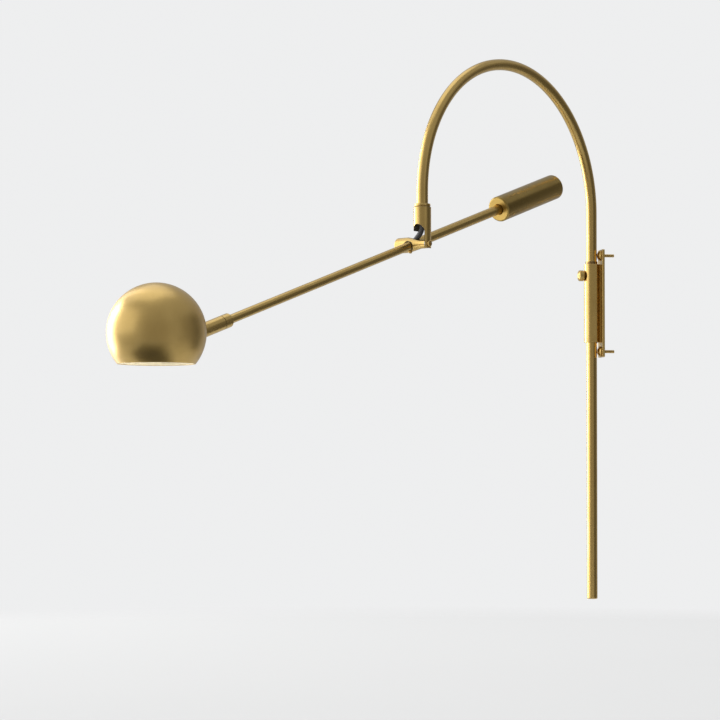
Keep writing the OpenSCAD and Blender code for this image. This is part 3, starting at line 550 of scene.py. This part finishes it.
# %% Opal glass
tree, shader = new_finish("bulb_glass")
place = add(tree, "TexCoord").outputs["Object"]
haze = add(tree, "Group", node_tree=skin)
tree.links.new(place, haze.inputs["Place"])
haze.inputs["Skin Size"].default_value = 0.002
haze.inputs["Patch Size"].default_value = 0.015
milk = mixed(tree, haze.outputs["Patch"], (0.86, 0.85, 0.81, 1), (0.80, 0.79, 0.75, 1))
tree.links.new(milk, shader.inputs["Base Color"])
tree.links.new(mask(tree, haze.outputs["Patch"], 0, 1, 0.16, 0.24), shader.inputs["Roughness"])
shader.inputs["Transmission Weight"].default_value = 0.15
shader.inputs["Coat Weight"].default_value = 0.6
shader.inputs["Coat Roughness"].default_value = 0.04
print("finishes:", len(finishes))

# %% [markdown]
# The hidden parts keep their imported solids: the cable inside the tubes, the screws behind the
# plate, the nut and washers in the knuckle, the springs and the seat. Each takes the finish that
# the record names for it, through the slots of its object, so its mesh stays untouched.

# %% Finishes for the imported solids
for name, solid in nodes.items():
    for place in solid.material_slots:
        place.material = finishes[slot_of[name]]
print("dressed", len(nodes), "solids")

# %% [markdown]
# The wall plate is a flat bar with slightly rounded corners. A box gets its four corner edges
# bevelled to the corner's radius, then the screw holes are cut, and the thin edges are broken.

# %% Wall plate
PLATE_W, PLATE_T, PLATE_H = 22, 3, 130
CORNER_R, SCREW_RISE = 1.5, 58
plate = block("wall_plate_bar", (-PLATE_W / 2, -PLATE_T, -PLATE_H / 2),
              (PLATE_W / 2, 0, PLATE_H / 2))


def pick_edges(piece, wanted):
    """Go into edit mode with only the edges selected whose two ends the test accepts."""
    only(piece)
    points = piece.data.vertices
    chosen = [wanted(points[e.vertices[0]].co / MM, points[e.vertices[1]].co / MM)
              for e in piece.data.edges]
    bpy.ops.object.mode_set(mode="EDIT")
    bpy.ops.mesh.select_mode(type="EDGE")
    bpy.ops.mesh.select_all(action="DESELECT")
    bpy.ops.object.mode_set(mode="OBJECT")
    for edge, yes in zip(piece.data.edges, chosen):
        edge.select = yes
    bpy.ops.object.mode_set(mode="EDIT")
    return sum(chosen)


corners = pick_edges(plate, lambda p, q: abs(p.y - q.y) > 1)
bpy.ops.mesh.bevel(offset=CORNER_R * MM, segments=8, affect="EDGES")
bpy.ops.object.mode_set(mode="OBJECT")
for height in (-SCREW_RISE, SCREW_RISE):
    cut(plate, moved(bar("hole", 2.25, -4, 1), at(0, 0, height) @ X_TO_Y))
put(plate, Matrix.Identity(4), "wall_bracket", ["wall_plate"], grain=upright, edge=0.35)
print("rounded", corners, "corners")

# %% [markdown]
# Two screws with slotted round heads hold the plate. One is turned on the lathe from its thread
# to its dome, its slot is cut, and the second is a copy with a mesh of its own. A slot never ends
# up level by itself, so each is turned its own way.

# %% Wall screws
HEAD_R, NECK_R, ROOT_R, CREST_R = 6.25, 1.7, 1.62, 2.0
PITCH, TURNS, TIP = 0.7, 19, -17
DOME_R, DOME_SUNK, DOME_LOW, DOME_TOP = 8, 4, 0.994, 3.98
dome = []
for step in range(11):
    height = DOME_LOW + (DOME_TOP - DOME_LOW) * math.sin(math.radians(9 * step))
    dome.append((height, math.sqrt(DOME_R ** 2 - (height + DOME_SUNK) ** 2)))
thread = []
for turn in range(TURNS):
    thread += [(TIP + PITCH * turn, ROOT_R), (TIP + PITCH * (turn + 0.5), CREST_R)]
shank = thread + [(-PLATE_T, NECK_R), (0, NECK_R), (0, HEAD_R)]
screw = turned("wall_screw_top", shank + dome, 64)
cut(screw, block("slot", (2.4, -8, -0.8), (6, 8, 0.8)))
other = screw.copy()
other.data = screw.data.copy()
other.name = other.data.name = "wall_screw_bottom"
bpy.context.scene.collection.objects.link(other)
for piece, height, turn in ((screw, SCREW_RISE, 25), (other, -SCREW_RISE, -25)):
    face = frame_at(Vector((0, -PLATE_T, height)) * MM, TO_ROOM, RIGHT)
    put(piece, face @ Matrix.Rotation(math.radians(turn), 4, "X"), "wall_bracket",
        ["wall_screws"], grain=lathed, edge=0.18)

# %% [markdown]
# The sleeve that carries the stem is a D in plan: a round front, flat cheeks, and sides that run
# in to a narrow web on the plate. Half of a ring gives the front. Its two free edges are extruded
# back along the cheeks and the slopes to the web, the back and the ends are filled, and the bore
# is cut last.

# %% Sleeve
SLEEVE_R, SLEEVE_H, SLEEVE_BORE = 9, 94.4, 7.3
CHEEK_END, SLOPE_END, WEB_END, WEB_HALF = 4.4, 8.9, 10.7, 4.5
only(None)
bpy.ops.mesh.primitive_cylinder_add(vertices=96, radius=SLEEVE_R * MM, depth=SLEEVE_H * MM,
                                    end_fill_type="NOTHING")
sleeve = bpy.context.object
sleeve.name = sleeve.data.name = "stem_sleeve"
pick_edges(sleeve, lambda p, q: p.y > 0.01 or q.y > 0.01)
bpy.ops.mesh.delete(type="EDGE")
bpy.ops.object.mode_set(mode="OBJECT")
pick_edges(sleeve, lambda p, q: abs(p.y) < 0.01 and abs(q.y) < 0.01)
pull(0, CHEEK_END, 0)
pull(0, SLOPE_END - CHEEK_END, 0)
bpy.ops.transform.resize(value=(WEB_HALF / SLEEVE_R, 1, 1), center_override=(0, 0, 0))
pull(0, WEB_END - SLOPE_END, 0)
bpy.ops.mesh.edge_face_add()
close_mesh(fill=True)
cut(sleeve, moved(bar("bore", SLEEVE_BORE, -50, 50), X_TO_Z),
    moved(bar("knob_hole", 2.55, -12, 0), at(0, 0, KNOB_Z) @ X_TO_Y))
put(sleeve, wall_place, "wall_bracket", ["sleeve_block"], grain=upright, edge=0.4, smooth=28)

# %% [markdown]
# The liner is a thin bush that stands a little above the sleeve. It has a darker metal finish of
# its own, so that it shows there as a dark ring. The lock knob is turned with a dished face, and its
# screw reaches through the sleeve into the liner's groove.

# %% Liner and lock knob
LINER_R, LINER_BORE, LINER_TOP = 7.25, 6.4, 50.6
liner = turned("liner_bush_turned", [
    (-SLEEVE_H / 2, LINER_R), (LINER_TOP, LINER_R), (LINER_TOP, LINER_BORE),
    (-SLEEVE_H / 2, LINER_BORE)], bored=True)
liner.data.materials.append(finishes["dark_liner_metal"])
put(liner, stem_place, "liner", ["liner_bush"], grain=lathed, edge=0.2)

knob = turned("lock_knob_turned", [
    (7.0, 2.5), (9.5, 2.5), (9.5, 5.5), (10.5, 6.5), (15.2, 6.5), (16.2, 5.5), (16.2, 4.5),
    (15.3, 3.6)])
put(knob, knob_place, "lock_knob", ["lock_knob"], grain=lathed, edge=0.2)

# %% [markdown]
# The stem and its arch are one tube. A circle is extruded up the stem, spun half a turn about the
# arch's centre, and extruded down the short tail. Solidify then gives the tube its wall. A curve
# with a bevel would make the same shape, but here the rings stay evenly spaced on straight and
# bend alike. The grain is unrolled, so the lines follow the bend.

# %% Stem tube
TUBE_R, TUBE_WALL, TUBE_FOOT = 6.35, 1.0, -354.5
ARCH_R, SPRING, TAIL = 160, 108.2, 14.2
LEG_STEPS = 6
stem = open_ring("stem_and_arch", 72, TUBE_R, (0, 0, TUBE_FOOT))
for step in range(LEG_STEPS):
    pull(0, 0, (SPRING - TUBE_FOOT) / LEG_STEPS)
bpy.ops.mesh.spin(steps=128, angle=math.pi, center=(ARCH_R * MM, 0, SPRING * MM), axis=(0, -1, 0))
pull(0, 0, -TAIL)
close_mesh(fill=False)
apply(stem, "SOLIDIFY", thickness=TUBE_WALL * MM, offset=-1, use_even_offset=True)


def round_the_arch(x, y, z):
    """Unroll the bent tube: first the length along it, then the place in its section."""
    up, out = z - SPRING * MM, ARCH_R * MM - x
    if up > 0:
        turn = math.atan2(up, out)
        return SPRING * MM + ARCH_R * MM * turn, ARCH_R * MM - math.hypot(up, out), y
    if out > 0:
        return z, x, y
    return SPRING * MM + ARCH_R * MM * math.pi - up, 2 * ARCH_R * MM - x, y


put(stem, arm_place, "stem", ["stem_tube"], grain=round_the_arch, edge=0.2)

# %% [markdown]
# A gland closes the stem's foot and guides the cable. At the other end a ring is plugged into the
# arch's tail, and its spigot carries everything that swivels below.

# %% Gland and swivel ring
PLUG_R, CABLE_BORE = 5.32, 3.4
gland = turned("stem_gland_turned", [
    (-356, 5.6), (-355.25, TUBE_R), (TUBE_FOOT, TUBE_R), (TUBE_FOOT, PLUG_R), (-342.5, PLUG_R),
    (-342.5, CABLE_BORE), (-356, CABLE_BORE)], bored=True)
put(gland, stem_place, "stem", ["stem_gland"], grain=lathed, edge=0.15)

spigot = turned("swivel_ring", [
    (74.8, 6), (91, 6), (91, 8.6), (91.4, 9), (93.6, 9), (94, 8.6), (94, PLUG_R), (98.4, PLUG_R),
    (98.4, CABLE_BORE), (74.8, CABLE_BORE)], bored=True)
put(spigot, arch_end, "stem", ["swivel_spigot"], grain=lathed, edge=0.15)

# %% [markdown]
# The knuckle is a short tube, forked by an arched window that runs right through. The ear on the
# boom's side is cut short, where the barrel and the boom pass under it. It is turned solid and
# then cut as a machinist would cut it: bore, window, arch, ear, pivot hole. Its inside faces get a
# second slot with a near-black finish: painted shade, for the shadow in the bore and the window.

# %% Knuckle
KNUCKLE_R, KNUCKLE_BORE, BORE_TOP = 9.75, 8, 79.7
WINDOW_HALF, WINDOW_SPRING = 7.8, 63.2
PIVOT = at(49.2, 0, 0) @ X_TO_Y
knuckle = turned("knuckle_fork", [(44.3, KNUCKLE_R), (90.3, KNUCKLE_R)], 128)
cut(knuckle,
    bar("bore", KNUCKLE_BORE, 40, BORE_TOP),
    bar("spigot_hole", 6.05, 70, 95),
    block("window", (40, -WINDOW_HALF, -12), (WINDOW_SPRING, WINDOW_HALF, 12)),
    moved(bar("window_arch", WINDOW_HALF, -12, 12), at(WINDOW_SPRING, 0, 0) @ X_TO_Z),
    block("short_ear", (40, -12, -12), (64, 0, 12)),
    moved(bar("pivot_hole", 2.55, 0, 12), PIVOT),
    moved(bar("pivot_flat", 5.7, 0, 7.25), PIVOT))
knuckle.data.materials.append(finishes["satin_brass"])
# The second slot paints shade on the faces inside the bore and the window.
knuckle.data.materials.append(finishes["painted_shade_bore"])
for face in knuckle.data.polygons:
    height, way, side = face.center / MM
    inside = math.hypot(way, side) < 9 and face.normal.y * way + face.normal.z * side < 0.01
    face.material_index = 1 if inside and 45 < height < BORE_TOP - 0.1 else 0
put(knuckle, arch_end, "knuckle", ["knuckle"], grain=brushed, edge=0.3)

# %% [markdown]
# The cable leaves the spigot, bends once in the window and enters the barrel's top. A circle is
# extruded down, spun through the bend and extruded on, all in short steps. On the light this cable
# bends at the pivot, with its upper end in the knuckle and its lower end in the boom.

# %% Cable at the pivot
CABLE_R, CABLE_TOP, BEND_TOP = 3, 76, 70.83
BEND_R, BEND, SLANT = 16, math.radians(45), 11.2
DROP_STEPS, SLANT_STEPS = 4, 8
link = open_ring("pivot_cable", 40, CABLE_R, (0, 0, CABLE_TOP))
for step in range(DROP_STEPS):
    pull(0, 0, (BEND_TOP - CABLE_TOP) / DROP_STEPS)
bpy.ops.mesh.spin(steps=12, angle=BEND, center=(0, -BEND_R * MM, BEND_TOP * MM), axis=(1, 0, 0))
slope = -SLANT / SLANT_STEPS * math.sin(BEND)
for step in range(SLANT_STEPS):
    pull(0, slope, slope)
close_mesh(fill=True)
at_arch_end = frame_at(below_arch_end, arm_way, across)
put(link, at_arch_end, None, ["link_cable"], grain=upright, edge=0)
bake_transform(link)

# %% [markdown]
# The cross barrel tapers from the boom to the pivot. It is turned, stood across the boom, and
# drilled: for the front tube, the rear rod, the cable, the pivot screw and the clamping screw. A
# wider mouth round the front tube gets a near-black finish inside: painted shade, so that it shows
# as a thin dark crescent.

# %% Cross barrel
BARREL_R, SLIM_R, MOUTH_R, MOUTH_AT = 8.6, 5, 6.0, 5.2
BOOM_TILT, SCREW_TURN = math.radians(18.5), math.radians(20)
CABLE_IN = Matrix.Rotation(-BOOM_TILT, 4, "Y") @ Matrix.Rotation(-BEND, 4, "X") @ X_TO_Z
SCREW_IN = Matrix.Rotation(-BOOM_TILT - SCREW_TURN, 4, "Y") @ X_DOWN
barrel = moved(turned("cross_barrel_turned", [
    (-19.5, BARREL_R - 1), (-18.5, BARREL_R), (-4.5, BARREL_R), (13, SLIM_R), (21.55, SLIM_R)],
    128), X_TO_Y)
cut(barrel,
    bar("tube_hole", 4.78, 4.5, 20),
    bar("tube_step", MOUTH_R, MOUTH_AT, 20),
    bar("chamber", CABLE_BORE, -5.5, 5.5),
    bar("rod_hole", 5.53, -20, -4.5),
    moved(bar("pivot_hole", 2.53, 13, 24), X_TO_Y),
    moved(bar("cable_hole", CABLE_BORE, 0, 20), CABLE_IN),
    moved(bar("screw_hole", 2.03, 0, 20), SCREW_IN))
barrel.data.materials.append(finishes["satin_brass"])
# The second slot paints shade inside the mouth round the front tube.
barrel.data.materials.append(finishes["painted_shade_bore"])
for face in barrel.data.polygons:
    x, y, z = face.center / MM
    in_mouth = x > MOUTH_AT - 0.1 and math.hypot(y, z) < MOUTH_R + 0.05
    face.material_index = 1 if in_mouth else 0
put(barrel, boom_place, "boom", ["cross_barrel"], grain=lambda x, y, z: (0, y, math.hypot(x, z)),
    edge=0.25)

# %% [markdown]
# Two small screws belong to the barrel: the pivot screw through the knuckle's ear, and the screw
# that clamps the boom tube. Both have a hexagon socket, cut with a six-sided bar.

# %% Barrel screws
pivot_screw = turned("pivot_screw_turned", [
    (13.2, 2.5), (24.85, 2.5), (24.85, 3.3), (26.15, 3.3), (26.65, 2.8)], 64)
cut(pivot_screw, bar("socket", 1.44, 25.45, 28, sides=6))
put(pivot_screw, boom_place @ X_TO_Y, "boom", ["pivot_screw"], grain=lathed, edge=0.12)

clamp = turned("clamp_screw", [(4.9, 2.0), (9.57, 2.0), (9.87, 1.7)], 48)
cut(clamp, bar("socket", 1.15, 8.67, 12, sides=6))
put(clamp, boom_place @ SCREW_IN, "boom", ["boom_screw"], grain=lathed, edge=0.1)

# %% [markdown]
# The boom is a tube in front and a thicker solid rod behind. The counterweight is bored for the
# rod from its near face and closed at its far end, with a set screw from below.

# %% Boom and counterweight
FRONT_R, FRONT_BORE, FRONT_END = 4.75, 3.75, 317
ROD_R, ROD_START, ROD_END = 5.5, -4.5, -245
WEIGHT_R, WEIGHT_BORE, WEIGHT_EDGE = 14.75, 5.55, 1.5
WEIGHT_NEAR, WEIGHT_FAR = -165, -278
front = turned("boom_front_tube", [
    (4.5, FRONT_R), (FRONT_END, FRONT_R), (FRONT_END, FRONT_BORE), (4.5, FRONT_BORE)],
    bored=True)
put(front, boom_place, "boom", ["boom_tube"], edge=0.15)

rod = turned("boom_rear_rod", [(ROD_END, ROD_R - 0.6), (ROD_END + 0.6, ROD_R), (ROD_START, ROD_R)])
put(rod, boom_place, "boom", ["rear_rod"], edge=0.15)

weight = turned("counterweight_turned", [
    (WEIGHT_FAR, WEIGHT_R - WEIGHT_EDGE), (WEIGHT_FAR + WEIGHT_EDGE, WEIGHT_R),
    (WEIGHT_NEAR - WEIGHT_EDGE, WEIGHT_R), (WEIGHT_NEAR, WEIGHT_R - WEIGHT_EDGE),
    (WEIGHT_NEAR, WEIGHT_BORE + 1.2), (WEIGHT_NEAR - 1.2, WEIGHT_BORE),
    (WEIGHT_FAR + 9, WEIGHT_BORE)], 128)
cut(weight, moved(bar("set_screw_hole", 2.53, 4, 20), at(WEIGHT_NEAR - 15, 0, 0) @ X_DOWN))
# The counterweight takes the darker brass through its slot: painted shade.
put(weight, boom_place, "counterweight", ["counterweight"], grain=lathed, edge=0.25)

# %% [markdown]
# The neck has three turned parts: a collar fixed on the tube, a barrel that turns on the collar's
# spigot, and a cap that holds the ball. A fine dark line shows where the barrel meets the collar.

# %% Neck
NECK_OUT, SPIGOT_R, COLLAR_START, COLLAR_END = 7.5, 5.5, 309, 320
collar = turned("neck_collar_turned", [
    (COLLAR_START, 6.3), (310.2, NECK_OUT), (COLLAR_END, NECK_OUT), (COLLAR_END, SPIGOT_R),
    (323.2, SPIGOT_R), (323.2, 4.7), (326.8, 4.7), (326.8, SPIGOT_R), (330, SPIGOT_R),
    (330, CABLE_BORE), (FRONT_END, CABLE_BORE), (FRONT_END, 4.78), (COLLAR_START, 4.78)],
    bored=True)
put(collar, boom_place, "boom", ["neck_collar"], grain=lathed, edge=0.12)

neck = turned("neck_barrel_turned", [
    (320.6, NECK_OUT), (344.95, NECK_OUT), (344.95, 6.67), (349.5, 6.67), (349.5, 5.9), (341, 5.9),
    (341, 3.0), (330.2, 3.0), (330.2, 5.55), (320.6, 5.55)], bored=True)
cut(neck, moved(bar("stop_hole", 1.53, 4, 10), at(325, 0, 0) @ X_DOWN))
put(neck, boom_place, "neck", ["neck_barrel"], grain=lathed, edge=0.15)

SOCKET_R = 6.55
socket = [(BOOM_REACH + off, math.sqrt(SOCKET_R ** 2 - off ** 2))
          for off in (2.9, 2, 1, 0, -1, -2, -2.7)]
cap = turned("neck_cap_turned", [
    (345.05, NECK_OUT), (356.5, NECK_OUT), (358.9, 6.57)] + socket + [
    (353, 5.95), (349.55, 5.95), (349.55, 6.7), (345.05, 6.7)], bored=True)
put(cap, boom_place, "neck", ["neck_cap"], grain=lathed, edge=0.12)

# %% [markdown]
# The shade hangs on a ball stud. The ball, the waist, the flange and the hollow nipple are one
# turned piece, with a dished washer outside the shade, and a washer and a nut inside it.

# %% Ball stud, washers and nut
BALL_R, BALL_BACK, BALL_FRONT, BALL_STEPS = 6.5, 163.9, 25.5, 14
NIPPLE_R, NIPPLE_HOLE = 5.0, 5.03
ball_rings = []
for step in range(BALL_STEPS + 1):
    angle = math.radians(BALL_BACK - (BALL_BACK - BALL_FRONT) * step / BALL_STEPS)
    ball_rings.append((BALL_R * math.cos(angle), BALL_R * math.sin(angle)))
stud = turned("ball_stud_turned", ball_rings + [
    (7, 2.8), (7, 5.8), (8, 5.8), (8, NIPPLE_R), (23.3, NIPPLE_R), (23.3, 1.8)], bored=True)
put(stud, stud_place, "shade", ["ball_stud"], grain=lathed, edge=0.1)

washer = turned("shade_washer_outside", [
    (8, NIPPLE_HOLE), (8, 8), (9.59, 8), (9.2, NIPPLE_HOLE)], bored=True)
put(washer, stud_place, "shade", ["outer_washer"], grain=lathed, edge=0.15)

inside = turned("shade_washer_inside", [
    (10.11, NIPPLE_HOLE), (10.68, 9), (11.75, 9), (11.75, NIPPLE_HOLE)], bored=True)
put(inside, stud_place, "shade", ["inner_washer"], grain=lathed, edge=0.15)

nut = turned("shade_nut", [(11.8, 8.08), (15.25, 8.08)], sides=6)
cut(nut, bar("thread", NIPPLE_HOLE, 10, 17))
put(nut, stud_place, "shade", ["stud_nut"], edge=0.2)

# %% [markdown]
# The shade is a thin sphere, cut off level below. A sphere is added with its poles up and down,
# bisected at the rim, thickened inwards by Solidify and drilled for the nipple. The faces inside
# get a second material slot for the paint.

# %% Shade
SHADE_R, SHADE_WALL, RIM_DROP = 50, 0.8, 31.3
only(None)
bpy.ops.mesh.primitive_uv_sphere_add(segments=160, ring_count=96, radius=SHADE_R * MM,
                                     rotation=(0, QUARTER, 0))
shell = bpy.context.object
shell.name = shell.data.name = "globe_shade"
bpy.ops.object.transform_apply(location=True, rotation=True, scale=True)
bpy.ops.object.mode_set(mode="EDIT")
bpy.ops.mesh.select_all(action="SELECT")
bpy.ops.mesh.bisect(plane_co=(-RIM_DROP * MM, 0, 0), plane_no=(1, 0, 0), clear_inner=True,
                    threshold=0.0001 * MM)
bpy.ops.object.mode_set(mode="OBJECT")
apply(shell, "SOLIDIFY", thickness=SHADE_WALL * MM, offset=-1, use_even_offset=True)
stud_in_shade = shade_place.inverted() @ stud_place
cut(shell, moved(bar("nipple_hole", NIPPLE_HOLE, 4, 16), stud_in_shade))
shell.data.materials.append(finishes["shade_brass"])
shell.data.materials.append(finishes["shade_paint"])
for face in shell.data.polygons:
    face.material_index = 1 if face.center.length < (SHADE_R - 0.5) * MM else 0
put(shell, shade_place, "shade", ["shade_shell"], grain=lathed, edge=0.15)

# %% [markdown]
# The lampholder is a moulded cylinder with a ribbed skirt, screwed on the nipple inside the
# shade, with the bulb's metal shell in its bore.

# %% Lampholder
HOLDER_R, HOLDER_START, HOLDER_END = 12.5, 15.3, 45.3
GROOVE_R, RIB_START, RIB_PITCH = 12.1, 29, 2
HOLDER_BORE = 7.53
ribs = []
for turn in range(7):
    rib = RIB_START + RIB_PITCH * turn
    ribs += [(rib, HOLDER_R), (rib + 0.4, GROOVE_R), (rib + 1.2, GROOVE_R), (rib + 1.6, HOLDER_R)]
holder = turned("lampholder_moulded", [(HOLDER_START, 10), (17.8, HOLDER_R)] + ribs + [
    (HOLDER_END, HOLDER_R), (HOLDER_END, HOLDER_BORE), (25.3, HOLDER_BORE), (25.3, 2.0),
    (23.35, 2.0), (23.35, NIPPLE_HOLE), (HOLDER_START, NIPPLE_HOLE)], bored=True)
put(holder, stud_place, "shade", ["lampholder"], grain=lathed, edge=0.12)

# %% [markdown]
# The bulb is a small opal globe. Its neck swells into the globe in one smooth line, so the ring
# list follows that line and ends in a pole.

# %% Bulb
GLOBE_R, GLOBE_AT, GLOBE_STEPS = 17.5, 72, 24
globe = []
for step in range(GLOBE_STEPS + 1):
    angle = math.radians(140 - 139 * step / GLOBE_STEPS)
    globe.append((GLOBE_AT + GLOBE_R * math.cos(angle), GLOBE_R * math.sin(angle)))
neck_line = [(45.55, 6.9), (49, 6.95), (52, 7.3), (54.5, 8.1), (56.6, 9.4)]
bulb = turned("opal_bulb", neck_line + globe, 80)
put(bulb, stud_place, "shade", ["bulb_glass"], grain=lathed, edge=0, smooth=60)

# %% [markdown]
# The floor lies below the light's foot, in one plain pale tone that fades into the world's own. To
# the camera it is partly clear as well, so that no edge shows, and yet it keeps the light's shadow.
# Seen from below it is all clear. The floor, the lamps and the cards are placed in metres.

# %% Floor
PALE = (0.85, 0.85, 0.84, 1)
UNDER_LIGHT = Vector((0.25, -0.3, -0.43))
FADE_START, FADE_END, CLEARNESS = 0.3, 1.6, 0.72
only(None)
bpy.ops.mesh.primitive_plane_add(size=9, location=UNDER_LIGHT)
floor = bpy.context.object
floor.name = floor.data.name = "floor"
bpy.ops.object.transform_apply(location=True, rotation=True, scale=True)
ground = bpy.data.materials.new("pale_floor")
tree = blank(ground)
place = add(tree, "TexCoord").outputs["Object"]
from_centre = add(tree, "Mapping", {"Vector": place, "Location": tuple(-UNDER_LIGHT)})
distance = add(tree, "VectorMath", {0: from_centre.outputs[0]}, operation="LENGTH")
far = mask(tree, distance.outputs["Value"], FADE_START, FADE_END)
matt = add(tree, "BsdfDiffuse", {"Color": PALE})
clear = add(tree, "BsdfTransparent")
under = add(tree, "NewGeometry").outputs["Backfacing"]
thin = mask(tree, add(tree, "LightPath").outputs["Is Camera Ray"], 0, 1, 0.0, CLEARNESS)
seen_through = add(tree, "Math", {0: far, 1: thin}, operation="MAXIMUM")
gone = add(tree, "Math", {0: seen_through.outputs[0], 1: under}, operation="MAXIMUM")
shown = add(tree, "MixShader", {0: gone.outputs[0], 1: matt.outputs[0], 2: clear.outputs[0]})
tree.links.new(shown.outputs[0], add(tree, "OutputMaterial").inputs[0])
floor.data.materials.append(ground)
print("floor at", floor.data.vertices[0].co.z)

# %% [markdown]
# The world is pale where the camera or a glass looks at it. In reflections it is about half as
# bright, and as a lamp a little dimmer still, so that the soft lamps shape the metal.

# %% World
AS_LAMP, AS_BACKGROUND, MIRROR_SHARE = 0.42, 0.9, 0.15
world = bpy.data.worlds.new("studio")
tree = blank(world)
rays = add(tree, "LightPath").outputs
seen = add(tree, "Math", {0: rays["Is Camera Ray"], 1: rays["Is Transmission Ray"]},
           operation="MAXIMUM")
mirrored = add(tree, "Math", {0: rays["Is Glossy Ray"], 1: MIRROR_SHARE}, operation="MULTIPLY")
either = add(tree, "Math", {0: seen.outputs[0], 1: mirrored.outputs[0]}, operation="MAXIMUM")
strength = mask(tree, either.outputs[0], 0, 1, AS_LAMP, AS_BACKGROUND)
glow = add(tree, "Background", {"Color": (0.95, 0.955, 0.96, 1), "Strength": strength})
tree.links.new(glow.outputs[0], add(tree, "OutputWorld").inputs[0])
bpy.context.scene.world = world
print("world set")

# %% [markdown]
# The key is a tall soft lamp beyond the shade, on the room's side, and gives the brass its bright
# edge. A wide lamp near the camera and one overhead fill the rest, and a small one below lights
# the inside of the shade. Polished metal shows what stands round it, so cards that only reflections
# see take the place of the dark wall and room, and a bright one gives the tubes their light line.

# %% Lamps and cards


def lamp(name, place, aim, power, width, height):
    """A soft rectangular lamp aimed at a point."""
    light = bpy.data.lights.new(name, "AREA")
    light.shape = "RECTANGLE"
    light.size, light.size_y, light.energy = width, height, power
    holder = bpy.data.objects.new(name, light)
    holder.location = place
    holder.rotation_euler = (Vector(aim) - Vector(place)).to_track_quat("-Z", "Y").to_euler()
    holder.visible_camera = False
    bpy.context.scene.collection.objects.link(holder)
    return holder


middle = (0.25, -0.25, 0.0)
lamp("key", (-1.55, -2.45, 0.3), middle, 100, 1.5, 2.6)
lamp("side", (0.9, -3.0, 0.9), middle, 14, 2.6, 2.4)
lamp("top", (-0.4, -0.8, 2.6), middle, 20, 2.8, 2.8)
bounce = lamp("bounce", (0.45, -0.57, -0.41), (0.45, -0.57, 0.0), 8.0, 0.5, 0.5)
bounce.visible_glossy = False


def card(name, place, aim, width, height, tone):
    """A card of a plain tone that only reflections see."""
    surface = bpy.data.materials.new(name + "_surface")
    tree = blank(surface)
    glow = add(tree, "Emission", {"Color": (1.0, 0.97, 0.93, 1), "Strength": tone})
    tree.links.new(glow.outputs[0], add(tree, "OutputMaterial").inputs[0])
    only(None)
    bpy.ops.mesh.primitive_plane_add(size=1)
    board = bpy.context.object
    board.name = board.data.name = name
    board.scale = (width, height, 1)
    board.location = place
    board.rotation_euler = (Vector(aim) - Vector(place)).to_track_quat("Z", "Y").to_euler()
    bpy.ops.object.transform_apply(location=True, rotation=True, scale=True)
    board.data.materials.append(surface)
    board.visible_camera = board.visible_diffuse = board.visible_shadow = False
    board.visible_transmission = board.visible_volume_scatter = False


card("card_low", (0.78, -0.70, -0.42), (0.78, -0.70, 1.0), 0.56, 0.62, 0.06)
card("card_wall", (0.6, 2.0, 0.0), (0.4, -0.4, 0.0), 3.2, 3.0, 0.27)
card("card_near", (0.28, 0.24, -0.05), (0.28, -1.0, -0.05), 0.5, 0.8, 0.14)
card("card_bright", (0.1, -0.75, 0.0), (0.0, 0.0, 0.0), 0.4, 1.3, 2.2)
card("card_room", (3.7, -0.8, 0.1), (0.4, -0.5, 0.0), 4.2, 3.4, 0.36)
print("lamps: 4, cards: 5")

bpy.context.scene.view_settings.view_transform = "Standard"
